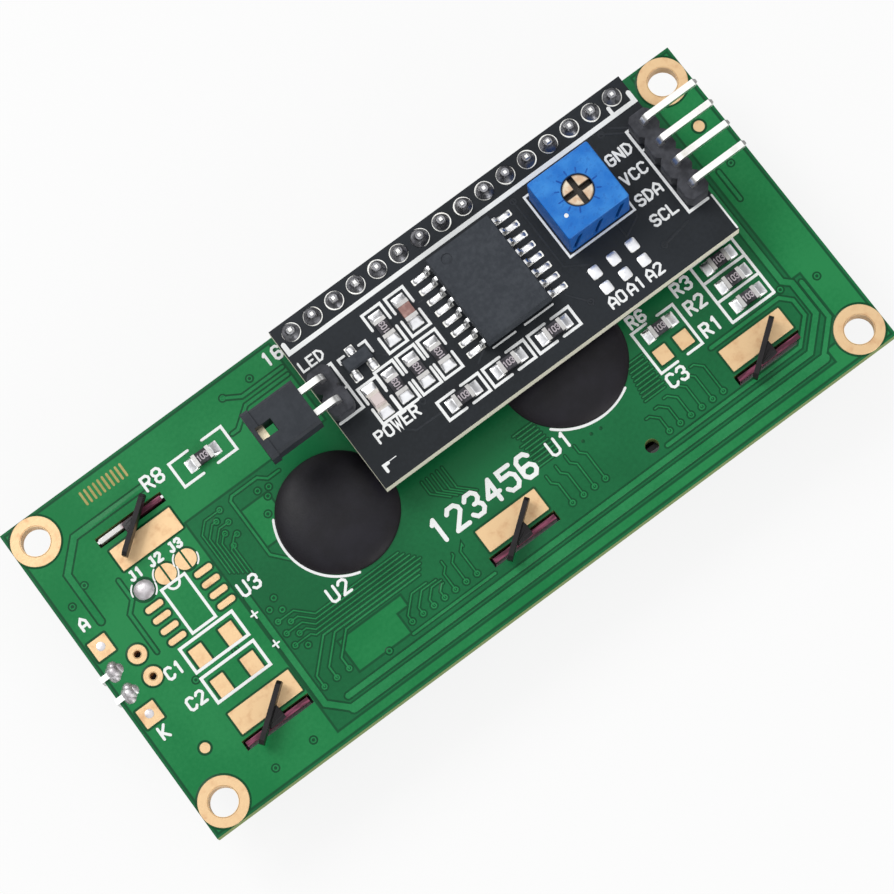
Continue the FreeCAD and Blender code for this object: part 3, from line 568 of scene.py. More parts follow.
def rounded(length, width, radius, steps=4):
    """Corner points of a rounded rectangle about its own middle, each corner a quarter circle."""
    radius = min(radius, length / 2 - 0.01, width / 2 - 0.01)
    sweep = np.linspace(0, np.pi / 2, steps)
    points = []
    for quarter, (sx, sy) in enumerate(((1, 1), (-1, 1), (-1, -1), (1, -1))):
        turn = sweep + quarter * np.pi / 2
        middle = np.array([sx * (length / 2 - radius), sy * (width / 2 - radius)])
        points.append(middle + radius * np.stack([np.cos(turn), np.sin(turn)], axis=-1))
    return np.concatenate(points)


def layers(relief, middle, rows):
    """A closed form from outlines about one middle, each with its level; an outline times 0 closes an end."""
    relief.surface([np.column_stack([outline + middle, level * np.ones(len(outline))])
                    for outline, level in rows])


def plate(relief, middle, outer, inner, low, high):
    """A flat raised plate between two outlines about its middle."""
    layers(relief, middle, ((outer * 0, low), (outer, low), (inner, high), (inner * 0, high)))


def pad(relief, x, y, length, width, low, high, radius, slope=0.04):
    """A flat raised plate with rounded corners and a sloping rim."""
    outer = rounded(length, width, radius)
    inner = rounded(length - 2 * slope, width - 2 * slope, max(radius - slope, 0.02))
    plate(relief, (x, y), outer, inner, low, high)


def mound(relief, x, y, length, width, low, height, radius, rings):
    """A lump on a rounded rectangle: each ring is the outline shrunk by a share, and height(dx, dy, share)
    gives its level above low."""
    outer = rounded(length, width, radius)
    rows = [(outer * 0, low)]
    for share in np.linspace(1, 0, rings):
        spot = outer * share
        rows.append((spot, low + height(spot[:, 0], spot[:, 1], share)))
    layers(relief, (x, y), rows)


def crown(tall, power, base=0.0):
    """Height of a plain lump: one minus a power of the share of the way out, times its height."""
    return lambda dx, dy, share: tall * (1 - share ** power) + base


def band(relief, path, width, low, high, slope, closed=False):
    """A raised line of one width: its corners are mitred, its section is a low trapezium, and its ends are
    half circles, where the half width follows the cosine of the way round."""
    high += relief.lift()
    path = np.array(path, float)
    if closed:
        path = np.vstack([path, path[:1]])
    way = np.diff(path, axis=0)
    way /= np.linalg.norm(way, axis=1)[:, None]
    before = np.vstack([way[-1:] if closed else way[:1], way])
    after = np.vstack([way, way[:1] if closed else way[-1:]])
    ahead = before + after
    ahead /= np.linalg.norm(ahead, axis=1)[:, None]
    half = width / 2 / np.maximum(np.sum(ahead * after, axis=1), 0.35)
    if not closed:
        turn = np.linspace(np.pi / 2, 0, 4)[:-1, None]
        back = path[0] - way[0] * np.sin(turn) * width / 2
        front = (path[-1] + way[-1] * np.sin(turn) * width / 2)[::-1]
        narrow = np.cos(turn[:, 0]) * width / 2
        path = np.vstack([back, path, front])
        ahead = np.vstack([np.repeat(way[:1], len(turn), 0), ahead, np.repeat(way[-1:], len(turn), 0)])
        half = np.concatenate([narrow, half, narrow[::-1]])
    side = np.column_stack([-ahead[:, 1], ahead[:, 0]])
    inner = np.maximum(half - slope, half * 0.3)
    section = ((-half, low), (-inner, high), (inner, high), (half, low))
    relief.surface(np.stack([np.column_stack([path + side * reach[:, None], np.full(len(path), level)])
                             for reach, level in section], axis=1))


def ink(relief, points, line, level, thick, closed=False):
    """One printed line of even width on a level."""
    band(relief, points, line, level, level + thick, 0.02, closed)


def arc(x, y, radius, start, end, steps=12):
    """Points along an arc, its angles in degrees."""
    turn = np.radians(np.linspace(start, end, steps))
    return np.column_stack([x + radius * np.cos(turn), y + radius * np.sin(turn)])


def box(x0, y0, x1, y1):
    return [(x0, y0), (x1, y0), (x1, y1), (x0, y1)]


def strap(relief, spine, width, thick, across, edge):
    """A bent strip of metal: its section, a rounded rectangle, is carried along the spine's points and stands
    square to the way; across is the direction of its width."""
    spine = np.array(spine, float)
    way = np.gradient(spine, axis=0)
    across = np.array(across, float)
    normal = np.cross(way / np.linalg.norm(way, axis=1)[:, None], across)
    normal /= np.linalg.norm(normal, axis=1)[:, None]
    section = rounded(width, thick, edge, 3)
    grid = spine[:, None] + section[None, :, :1] * across + section[None, :, 1:] * normal[:, None]
    ends = [np.broadcast_to(point, grid[:1].shape) for point in (spine[0], spine[-1])]
    relief.surface(np.concatenate([ends[0], grid, ends[1]]))


def bend(start, end, first, last, steps):
    """Points of a soft S from start to end that leaves along first and arrives along last (a cubic curve)."""
    t = np.linspace(0, 1, steps)[:, None]
    start, end, first, last = (np.array(p, float) for p in (start, end, first, last))
    return ((1 - t) ** 3 * start + 3 * (1 - t) ** 2 * t * (start + first)
            + 3 * (1 - t) * t ** 2 * (end - last) + t ** 3 * end)


# Plain stroke letters on a grid 4 wide and 6 high: pairs of digits are points, a bar starts a new stroke
STROKES = {
    "A": "00 04 26 44 40|02 42", "C": "45 36 16 05 01 10 30 41", "D": "00 06 26 44 42 20 00",
    "E": "40 00 06 46|03 33", "G": "45 36 16 05 01 10 30 41 43 23", "J": "01 10 20 31 36 26",
    "K": "00 06|46 02|13 40", "L": "06 00 40", "N": "00 06|06 40|40 46", "O": "10 01 05 16 36 45 41 30 10",
    "P": "00 06|06 36 45 44 33 03", "R": "00 06|06 36 45 44 33 03|23 40",
    "S": "01 10 30 41 42 33 13 04 05 16 36 45", "U": "06 01 10 30 41 46", "V": "06 20|20 46",
    "W": "06 10 24 30 46", "0": "10 01 05 16 36 45 41 30 10", "1": "15 26|26 20",
    "2": "05 16 36 45 44 00|00 40", "3": "05 16 36 45 44 33 42 41 30 10 01|33 23",
    "4": "30 36|36 02|02 42", "5": "46 06 04 34 43 41 30 10 01",
    "6": "45 36 16 05 01 10 30 41 42 33 13|13 02", "8": "13 04 05 16 36 45 44 33 13|13 02 01 10 30 41 42 33",
    "+": "03 43|21 25",
}


def label(relief, text, x, y, height, level, line, thick, width=0.58, gap=0.33, upright=False):
    """Prints stroke letters in a row centred on the place; width and gap are shares of the height, and
    upright turns the row a quarter."""
    advance = height * (width + gap)
    start = -(advance * len(text) - height * gap) / 2
    for i, letter in enumerate(text):
        for stroke in STROKES[letter].split("|"):
            spots = np.array([(int(p[0]), int(p[1])) for p in stroke.split()], float)
            spots = spots * (height * width / 4, height / 6) + (start + i * advance, -height / 2)
            spots = (spots[:, ::-1] * (-1, 1) if upright else spots) + (x, y)
            loop = len(spots) > 3 and np.allclose(spots[0], spots[-1])
            ink(relief, spots[:-1] if loop else spots, line, level, thick, loop)


def brackets(relief, x, y, length, width, gap, upright, level, line, thick):
    """The two printed brackets round a chip part, open in the middle of its long sides."""
    for side in (-1, 1):
        shape = np.array([(gap, -width), (length, -width), (length, width), (gap, width)]) / 2 * (side, 1)
        ink(relief, (shape[:, ::-1] if upright else shape) + (x, y), line, level, thick)


# Levels of the boards' artwork: it reaches SINK into a board, and plated rings stand PLATED out of it
SINK = 0.01
PLATED = 0.045
BED = green_top - SINK
CHANNEL = green_top + 0.006
TRACK = green_top + 0.03
PAD = green_top + 0.04
INK_RISE = 0.055
SLATE_BED = slate_top - SINK
SLATE_PAD = slate_top + 0.04

# Wide tracks of the main board: the left end, the upper edge, then those along the lower edge and up its ends
WIDE_TRACKS = [
    ([(-25.2, 13.6), (-34.3, 13.6), (-36.9, 11.0), (-36.9, 5.4)], 0.66),
    ([(-33.3, 7.6), (-33.3, 5.3), (-34.3, 4.3), (-34.3, -0.2)], 0.35),
    ([(-8.6, 15.0), (-13.4, 15.0), (-15.0, 16.0)], 0.35),
    ([(-8.6, 14.1), (-13.6, 14.1), (-15.6, 12.6), (-16.3, 12.6)], 0.35),
    ([(-24.4, -1.2), (-24.4, -13.8), (-22.45, -15.75)], 0.65),
    ([(-22.45, -15.75), (33.2, -15.75)], 0.95),
    ([(33.2, -15.55), (35.98, -12.77), (35.98, -8.5)], 0.5),
    ([(-22.2, -14.5), (32.4, -14.5), (35.2, -11.75), (35.2, -8.0), (34.5, -7.3), (34.5, 5.6)], 0.62),
    ([(16.2, -13.45), (32.0, -13.45), (34.25, -11.25), (34.25, -9.4), (33.3, -8.4), (25.2, -8.4)], 0.4),
    ([(-13.8, -13.45), (-4.2, -13.45)], 0.3),
    ([(36.35, 5.0), (36.35, 1.6)], 0.4),
]

# Small plated holes under the main board's lacquer: rows at the lower edge, groups by the left chip, others
VIA_ROW_Y = -12.45
LOWER_VIAS = [-13.2 + 1.27 * i for i in range(7)]
MIDDLE_VIAS = [5.7 + 1.3 * i for i in range(4)]
RIGHT_VIAS = [17.2 + 1.28 * i for i in range(6)]
END_VIAS = [-23.5 + 1.45 * i for i in range(3)]
UPPER_VIAS = [(-21.6 - 0.9 * (i % 2), 7.3 - 0.72 * i) for i in range(6)]
SIDE_VIAS = [(-22.4 - 1.0 * (i % 2), -2.7 - 0.7 * i) for i in range(9)]
VIAS = [(x, VIA_ROW_Y) for x in LOWER_VIAS + MIDDLE_VIAS + RIGHT_VIAS + END_VIAS] + UPPER_VIAS + SIDE_VIAS + [
    (-17.6, 6.6), (-16.5, 6.3), (-17.1, 5.6), (-18.1, 4.2), (-31.7, -15.9), (-27.3, -15.9), (-22.2, -14.5),
    (-15.0, 16.0), (-11.8, 16.0), (-36.2, 9.2), (-38.3, 8.2), (37.8, 5.0), (37.5, -8.9), (33.9, -7.85),
    (-32.9, -4.6), (-28.2, -4.5), (-16.6, -13.4),
]

# Rectangular bare pads, centre and size: tab lands, the eight-pad place, three part places, end pads
COPPER_PADS = [
    (-28.85, 9.25, 7.1, 2.5), (-28.85, -10.25, 7.1, 2.5), (0.1, -10.35, 7.0, 2.5), (29.1, -10.35, 7.2, 2.5),
]
COPPER_PADS += [(x, 3.5 - 1.27 * i, 2.0, 0.68) for i in range(4) for x in (-32.0, -26.25)]
COPPER_PADS += [(x, y, length, 2.05) for y in (-2.95, -6.5) for x, length in ((-31.2, 1.55), (-27.7, 1.6))]
COPPER_PADS += [
    (21.2, -6.15, 1.55, 1.7), (23.65, -6.15, 1.6, 1.7), (-38.3, 3.35, 2.05, 2.1), (-38.3, -4.65, 2.05, 2.1),
]

# Rings at the fixing holes and test holes: centre, hole radius, outer radius; then round pads: centre, radius
FIXING_HOLE = 1.5
FIXING_RING = 2.5
TEST_HOLE = 0.4
FIXING_INSET = 2.5
FIXING_RINGS = [(x, y, FIXING_HOLE, FIXING_RING)
                for x in (board_low[0] + FIXING_INSET, board_high[0] - FIXING_INSET)
                for y in (board_low[1] + FIXING_INSET, board_high[1] - FIXING_INSET)]
TEST_RINGS = [(-35.95, y, TEST_HOLE, 0.97) for y in (0.75, -1.85)]
SPLIT_PADS = [(-29.3, 5.4, 1.08), (-26.95, 5.4, 1.08)]
BRIDGED_PAD = (-31.85, 5.4, 1.08)
ROUND_PADS = [(-35.95, -10.35, 0.55), (37.6, 9.8, 0.6)]


def fan_tracks():
    """Fine tracks that spread from the two potted chips: nested runs with one slanted stretch each."""
    fine = 0.18
    tracks = []
    for i, (x, y) in enumerate(UPPER_VIAS):
        upright = -24.35 + 0.35 * i
        slant = min(1.0, 0.8 * (x - upright))
        tracks.append(([(x, y), (upright + slant, y), (upright, y - slant), (upright, 1.8 - 0.25 * i)], fine))
    tracks.append(([(-14.8, 7.0), (-16.1, 7.0), (-16.9, 7.7), (-19.9, 7.7), (-20.25, 7.35), (-20.25, 0.9),
                    (-18.8, -0.8)], 0.28))
    for i in range(8):
        level = -6.3 - 0.42 * i
        end = -9.0 - 0.35 * abs(i - 4)
        if i < 5:
            x, y = SIDE_VIAS[i + 3]
            tracks.append(([(x, y), (-21.6, y), (-21.6 + abs(level - y), level), (end, level)], fine))
        else:
            x = END_VIAS[i - 5]
            corner = x + level + 11.2
            tracks.append(([(x, VIA_ROW_Y), (x, -11.2), (corner, level), (end, level)], fine + 0.04))
    for i, x in enumerate(LOWER_VIAS):
        if i < 4:
            level = -10.25 - 0.33 * i
            end = min(x + 3.2 - 0.35 * i, -8.7)
            tracks.append(([(x, VIA_ROW_Y), (x, -11.75), (x + level + 11.75, level), (end, level)], fine))
        else:
            rise = -12.2 + 0.4 * i
            tracks.append(([(x, VIA_ROW_Y), (x, rise), (x + 0.5, rise + 0.5), (x + 0.5, -9.5)], fine))
    for i, x in enumerate(MIDDLE_VIAS):
        rise = -10.2 + 0.25 * i
        tracks.append(([(x, VIA_ROW_Y), (x, rise), (x - 0.5, rise + 0.5), (x - 0.5, rise + 1.3)], fine))
    for i, x in enumerate(RIGHT_VIAS):
        rise = -10.9 + 0.3 * i
        tracks.append(([(x, VIA_ROW_Y), (x, rise), (x - 0.7, rise + 0.7), (x - 1.1, rise + 0.7)], fine))
    for i in range(10):
        step = 0.43 * i
        tracks.append(([(5.0 + 0.25 * (i % 3), -3.9 - step), (7.2 + 0.06 * i, -3.9 - step)], fine))
        tracks.append(([(17.8 - 0.08 * i, -4.9 - step), (19.6 - 0.2 * (i % 2), -4.9 - step)], fine))
    for i in range(5):
        x = -4.6 + 0.6 * i
        fall = -3.6 - 0.25 * i
        tracks.append(([(x, -2.2), (x, fall), (x + 1.4, fall - 1.4)], fine))
    return tracks


def main_tracks():
    """Tracks under the lacquer: a dark channel on each side and the raised copper between. The channels
    end just inside the board's edge."""
    channels = Relief()
    copper = Relief()
    for path, width in WIDE_TRACKS + fan_tracks():
        margin = 0.17 if width > 0.3 else 0.13
        band(channels, path, width + 2 * margin, BED, CHANNEL, 0.02)
        band(copper, path, width, BED, TRACK, 0.05)
    for x, y in VIAS:
        ring(copper, x, y, 0.13, 0.32, BED, TRACK + 0.018, 0.05, 16)
        disc(channels, x, y, 0.46, BED, CHANNEL + channels.lift(), 0.02, 16)
    for i in range(4):
        disc(channels, 9.0 + 1.05 * i, -8.2 - 0.1 * (i % 2), 0.2, BED, CHANNEL, 0.02, 12)
    for x, y, length, width in COPPER_PADS:
        corner = 0.5 if width < 1 else 0.25
        pad(channels, x, y, length + 0.4, width + 0.4, BED, CHANNEL + channels.lift(), corner, 0.02)
    for x, y, hole, outer in FIXING_RINGS + TEST_RINGS:
        ring(channels, x, y, hole, outer + 0.2, BED, CHANNEL, 0.02, 48)
    for x, y, outer in (*SPLIT_PADS, BRIDGED_PAD, *ROUND_PADS):
        disc(channels, x, y, outer + 0.2, BED, CHANNEL + channels.lift(), 0.02, 48)
    edge = 0.02
    for points in channels.points:
        points[:, :2] = np.clip(points[:, :2], board_low[:2] + edge, board_high[:2] - edge)
    channels.piece("main_track_channels", "channel_green")
    copper.piece("main_tracks", "track_green")


def barrel(relief, x, y, hole, wall, steps):
    """The plating down a hole of the main board."""
    inner = hole - wall
    profile = [(hole, green_front), (hole, PAD), (inner, PAD), (inner, green_front), (hole, green_front)]
    lathe(relief, x, y, profile, steps)


def main_pads():
    """Bare copper: rings at the fixing holes and test holes, split round pads and plain rectangles."""
    relief = Relief()
    for x, y, hole, outer in FIXING_RINGS:
        ring(relief, x, y, hole, outer, BED, PAD, 0.05, 64)
        ring(relief, x, y, hole, outer, green_front - PLATED, green_front + SINK, 0.05, 64)
        barrel(relief, x, y, hole, 0.05, 64)
    for x, y, hole, outer in TEST_RINGS:
        ring(relief, x, y, hole, outer, BED, PAD, 0.05, 32)
        barrel(relief, x, y, hole, 0.04, 24)
    for x, y, outer in SPLIT_PADS:
        for side in (-1, 1):
            half = arc(x + side * 0.1, y, outer - 0.1, -90 * side, 180 - 90 * side, 14)
            middle = half.mean(axis=0)
            plate(relief, middle, half - middle, half - middle, BED, PAD)
    for x, y, outer in ROUND_PADS:
        disc(relief, x, y, outer, BED, PAD, 0.05, 24)
    for x, y, length, width in COPPER_PADS:
        pad(relief, x, y, length, width, BED, PAD, 0.3 if width < 1 else 0.1, 0.05)
    relief.piece("main_bare_pads", "bare_copper")
    marks = Relief()
    for i in range(10):
        x = -31.4 + 0.52 * i
        band(marks, [(x, 15.45), (x, 16.75)], 0.27, BED, PAD - 0.01, 0.03)
    marks.piece("etched_bars", "etched_mark")


def main_print():
    """White print of the main board: part outlines, plain designators, and a row of plain numerals."""
    relief = Relief()

    def stroke(points, line, closed=False):
        ink(relief, points, line, green_top, INK_RISE, closed)

    stroke(box(-32.45, -4.1, -26.35, -1.3), 0.32, True)
    stroke(box(-32.45, -7.65, -26.35, -4.8), 0.32, True)
    stroke(box(-30.55, -0.8, -27.85, 4.35), 0.3, True)
    stroke(arc(-29.2, 4.3, 0.62, 180, 360), 0.26)
    for x in (-31.85, -29.3, -26.95):
        for start in (150, 330):
            stroke(arc(x, 5.4, 1.24, start - 26, start + 26, 10), 0.18)
    brackets(relief, -19.85, 12.5, 6.15, 2.75, 1.7, False, green_top, 0.3, INK_RISE)
    for y in (-0.9, -3.05, -5.3, -7.7):
        stroke([(28.35, y), (33.3, y)], 0.3)
    for x in (28.35, 33.3):
        stroke([(x, -0.9), (x, -7.7)], 0.3)
    stroke([(21.9, -7.55), (19.95, -7.55), (19.95, -2.75), (21.7, -2.75)], 0.28)
    stroke([(23.1, -7.55), (24.85, -7.55), (24.85, -2.75), (23.0, -2.75)], 0.28)
    stroke(arc(-12.7, 0.3, 6.18, 150, 254, 48), 0.27)
    stroke(arc(13.0, -0.8, 6.66, 225, 300, 30), 0.28)
    words = [
        ("A", -38.4, 6.2, 1.15), ("K", -38.2, -6.8, 1.2), ("J1", -31.6, 7.15, 0.84),
        ("J2", -29.3, 7.15, 0.84), ("J3", -27.0, 7.15, 0.84), ("U3", -23.55, -0.28, 1.36),
        ("C1", -34.0, -2.6, 1.15), ("C2", -34.0, -6.2, 1.2), ("U2", -17.05, -5.85, 1.4),
        ("R8", -25.0, 13.65, 1.38), ("U1", 8.1, -7.1, 1.5), ("C3", 20.95, -8.7, 1.32),
        ("R1", 26.5, -6.7, 1.3), ("R2", 26.6, -4.05, 1.28), ("R3", 26.6, -1.85, 1.25),
        ("16", -8.75, 16.5, 1.25), ("R6", 21.2, -1.8, 1.15), ("+", -24.8, -2.87, 1.2),
        ("+", -24.8, -6.4, 1.2),
    ]
    for text, x, y, height in words:
        label(relief, text, x, y, height, green_top, 0.2 if text == "+" else 0.29, INK_RISE + 0.004)
    for i in range(6):
        label(relief, str(i + 1), -5.95 + 2.05 * i, -6.95, 2.3, green_top, 0.46, INK_RISE + 0.004)
    relief.piece("main_print", "ink_white")


def far_side():
    """Display side of the main board: hole rings at the pin row and plain tracks along the edges."""
    copper = Relief()
    bare = Relief()
    closed = Relief()
    under = green_front + SINK
    for i in range(4):
        y = board_low[1] + 1.3 + 0.8 * i
        band(copper, [(-30.0 + i, y), (33.0 - i, y)], 0.4, green_front - 0.035, under, 0.05)
    for x in row_x:
        path = [(x, row_y), (x, row_y - 2.2), (x - 0.6, row_y - 2.9)]
        band(copper, path, 0.36, green_front - 0.035, under, 0.05)
        ring(bare, x, row_y, 0.5, 0.95, green_front - PLATED, under, 0.05, 28)
    for x, y, hole, _ in TEST_RINGS:
        disc(closed, x, y, hole + 0.02, green_front - 0.02, green_front + 0.25, 0.02, 20)
    closed.piece("closed_test_holes", "potting_black")
    copper.piece("front_tracks", "track_green")
    bare.piece("front_bare_pads", "plating")


# Potting, solder and leads
def potting():
    """Two lumps of potting: the rim wanders a little, and the height falls as one minus a high power of the
    share of the radius, so that the top is broad and the rim steep."""
    for name, start, shift in (("left", 0.4, 1.9), ("right", 2.2, 0.7)):
        node = "chip_dome_" + name
        low, high = corners(node)
        middle = (low + high) / 2
        radius = (high[0] - low[0]) / 2
        share = np.sin(np.linspace(np.pi / 2, 0, 22))
        height = (high[2] - low[2]) * (1 - share ** 3.0) ** 0.62
        profile = [(0, low[2]), *zip(radius * share, low[2] + height)]

        def wander(turn, start=start, shift=shift):
            return 0.99 + 0.006 * np.cos(2 * turn + start) + 0.004 * np.cos(5 * turn + shift)

        relief = Relief()
        lathe(relief, middle[0], middle[1], profile, 96, wander)
        relief.piece("potting_" + name, "potting_black", replaced=[node], smooth=70)


def pin_joint(relief, x, y, face, up, base=0.92, height=0.95, collar=0.4):
    """Solder at a pin, a hollow cone: the radius falls from pad to pin as a power of the height left."""
    full = base * dice.uniform(0.95, 1.03)
    tall = height * dice.uniform(0.86, 1.08)
    lean = dice.uniform(0, 2 * np.pi)
    share = np.linspace(0, 1, 9)
    radius = collar + (full - collar) * (1 - share) ** 2.1
    profile = [(0, face - up * SINK), (full, face - up * SINK)]
    profile += [(r, face + up * (0.03 + tall * s)) for r, s in zip(radius, share)]
    profile += [(0, face + up * (0.03 + tall))]

    def wobble(turn):
        return 1 + 0.05 * np.cos(turn + lean) + 0.03 * np.cos(3 * turn + 2 * lean)

    lathe(relief, x, y, profile, 20, wobble)


def pin_row_solder():
    """Joints at both ends of the pins that join the boards, in a darker copy of the solder that paints their
    shade.
    """
    for name, face, up in (("top", slate_top, 1), ("front", green_front, -1)):
        relief = Relief()
        for x in row_x:
            pin_joint(relief, x, row_y, face, up)
        node = "interface_solder_" + name
        relief.piece("pin_row_solder_" + name, "row_solder", replaced=[node], smooth=60)


def header_pin_places():
    """Places of the bent pins of both headers."""
    places = []
    for node in ("bus_header_block", "jumper_header_block"):
        low, high = corners(node)
        count = round((high[1] - low[1]) / pin_pitch)
        places += [((low[0] + high[0]) / 2, low[1] + pin_pitch * (i + 0.5)) for i in range(count)]
    return places


# Places of the trimmer's three pins, about its axis
TRIMMER_PINS = [(screw_x - 2.54, screw_y - 1.27), (screw_x + 2.54, screw_y - 1.27), (screw_x, screw_y + 1.27)]


def under_slate_solder():
    """Joints below the interface board."""
    relief = Relief()
    for x, y in header_pin_places() + TRIMMER_PINS:
        pin_joint(relief, x, y, slate_under, -1, 0.88, 0.8, 0.36)
    relief.piece("slate_under_solder", "solder", replaced=["backpack_solder_below"], smooth=60)


# Chip parts of both boards: centre, and True where the long side runs along y
GREEN_CHIPS = [(-19.85, 12.45, False), (22.5, -3.9, False)] + [(31.0, y, False) for y in (-2.0, -4.3, -6.6)]
SLATE_CHIPS = [(5.0, -10.3, True), (7.5, -10.3, True), (10.0, -10.3, True), (7.3, -5.1, True),
               (10.0, -5.1, True), (9.35, -15.0, False), (14.675, -15.0, False), (20.0, -15.0, False)]
CHIP_HALF = 1.0
CHIP_WIDE = 1.31
LAND = 0.86


def chip_solder(relief, lands, x, y, upright, level, tall=0.46):
    """Two lands and the solder on them, highest against the part's ends and hollow towards the outside."""
    size = np.array([LAND + 0.1, CHIP_WIDE])
    length, width = size[::-1] if upright else size
    for side in (-1, 1):
        middle = side * (CHIP_HALF + LAND / 2 - 0.08)
        dx, dy = (0, middle) if upright else (middle, 0)
        pad(lands, x + dx, y + dy, length + 0.1, width + 0.1, level - SINK, level + PLATED, 0.1)
        rise = tall * dice.uniform(0.85, 1.1)

        def height(across, along, share, side=side, rise=rise):
            out = (along if upright else across) * side
            near = np.clip(0.5 - out / (LAND + 0.1), 0, 1)
            return 0.05 + rise * near ** 1.8 * (1 - share ** 6) + 0.06 * (1 - share ** 2)

        mound(relief, x + dx, y + dy, length, width, level + 0.02, height, 0.16, 9)


def chip_parts_solder():
    """Solder of the chip parts, of the filled holes, the bridged pad and the address pads."""
    green = Relief()
    lands = Relief()
    for x, y, upright in GREEN_CHIPS:
        chip_solder(green, lands, x, y, upright, green_top)
    green.piece("main_chip_solder", "solder", replaced=["main_solder"], smooth=60)
    filled = Relief()
    mound(filled, *BRIDGED_PAD[:2], 2.05, 1.9, green_top + 0.01, crown(0.3, 2.4, 0.03), 0.9, 9)
    for y in (3.45, -4.55):
        mound(filled, -38.3, y, 0.9, 0.9, green_top + 0.03, crown(0.06, 2.4, 0.03), 0.44, 7)
    filled.piece("filled_holes", "dull_solder", smooth=60)
    slate = Relief()
    for u, v, upright in SLATE_CHIPS:
        chip_solder(slate, lands, *on_slate(u, v), upright, slate_top)
    chip_solder(slate, lands, *on_slate(2.65, -10.4), True, slate_top, 0.3)
    for u in (26.45, 28.65, 30.85):
        for v, wide in ((-12.85, 1.3), (-14.7, 1.2)):
            x, y = on_slate(u, v)
            pad(lands, x, y, 1.15, wide, SLATE_BED, SLATE_PAD, 0.2)
            mound(slate, x, y, 1.1, wide - 0.05, slate_top + 0.03, crown(0.1, 2.4, 0.03), 0.3, 7)
    slate.piece("slate_chip_solder", "solder", replaced=["backpack_solder"], smooth=60)
    lands.piece("chip_lands", "plating")


def resistor_values():
    """Plain value numbers on the chip resistors."""
    relief = Relief()
    low, high = corners("backpack_capacitor")
    slate_chips = [(*on_slate(u, v), upright) for u, v, upright in SLATE_CHIPS]
    for places, node in ((GREEN_CHIPS, "main_resistors"), (slate_chips, "backpack_resistors")):
        top = corners(node)[1][2]
        for x, y, upright in places:
            if not (low[0] < x < high[0] and low[1] < y < high[1]):
                label(relief, "103", x, y, 0.56, top - SINK, 0.13, 0.022, 0.5, 0.2, upright)
    relief.piece("resistor_values", "value_print")


def end_leads_solder():
    """The two uneven lumps that hold the backlight's leads at the board's end."""
    relief = Relief()
    low, high = corners("backlight_solder")
    for y in (low[1] + 0.85, high[1] - 0.85):
        for turn, reach, tall in ((0.3, 0.0, 0.62), (1.2, 0.5, 0.45), (4.4, 0.45, 0.4), (0.0, 0.5, 0.34)):
            size = 1.6 - 0.9 * reach
            x = low[0] + 0.9 + reach * math.cos(turn)
            mound(relief, x, y + reach * math.sin(turn), size, size, green_top, crown(tall, 2.2), 0.7, 9)
    relief.piece("end_leads_solder", "dull_solder", replaced=["backlight_solder"], smooth=60)


def gull_leads():
    """Bent leads of the wide chip and the transistor, with solder at each foot."""
    leads = Relief()
    toes = Relief()
    lands = Relief()
    middle = (chip_low + chip_high) / 2
    low, high = corners("expander_leads")
    thick = 0.25
    level = middle[2] + 0.02
    foot = slate_top + thick / 2 + 0.02
    for i in range(8):
        y = middle[1] + lead_pitch * (i - 3.5)
        for side, root, tip in ((-1, chip_low[0], low[0]), (1, chip_high[0], high[0])):
            out = np.array([side, 0, 0])
            knee = (tip - side * 0.72, y, foot)
            curve = bend((root + side * 0.12, y, level), knee, out * 0.42, out * 0.4, 9)
            spine = [(root - side * 0.4, y, level), *curve, (tip - side * 0.3, y, foot), (tip, y, foot)]
            strap(leads, spine, 0.44, thick, (0, 1, 0), 0.05)
            pad(lands, tip - side * 0.3, y, 2.0, 0.66, SLATE_BED, SLATE_PAD, 0.1)
            toe = crown(dice.uniform(0.17, 0.24), 2.6)
            mound(toes, tip - side * 0.1, y, 1.3, 0.62, slate_top + 0.03, toe, 0.28, 8)
    body_low, body_high = corners("transistor_body")
    x, _, level = (body_low + body_high) / 2
    low, high = corners("transistor_leads")
    thin = 0.14
    foot = slate_top + thin / 2 + 0.02
    for dx in (0, -0.95, 0.95):
        side, root, tip = (-1, body_low[1], low[1]) if dx else (1, body_high[1], high[1])
        out = np.array([0, side, 0])
        curve = bend((x + dx, root, level), (x + dx, tip - side * 0.35, foot), out * 0.15, out * 0.2, 8)
        spine = [(x + dx, root - side * 0.3, level), *curve, (x + dx, tip, foot)]
        strap(leads, spine, 0.42, thin, (1, 0, 0), 0.04)
        pad(lands, x + dx, tip - side * 0.05, 0.95, 1.15, SLATE_BED, SLATE_PAD, 0.1)
        mound(toes, x + dx, tip, 0.85, 0.95, slate_top + 0.03, crown(0.2, 2.6), 0.28, 8)
    nodes = ["expander_leads", "transistor_leads"]
    leads.piece("gull_leads", "tinned_lead", replaced=nodes, smooth=50)
    toes.piece("gull_lead_solder", "solder", smooth=60)
    lands.piece("gull_lands", "plating")


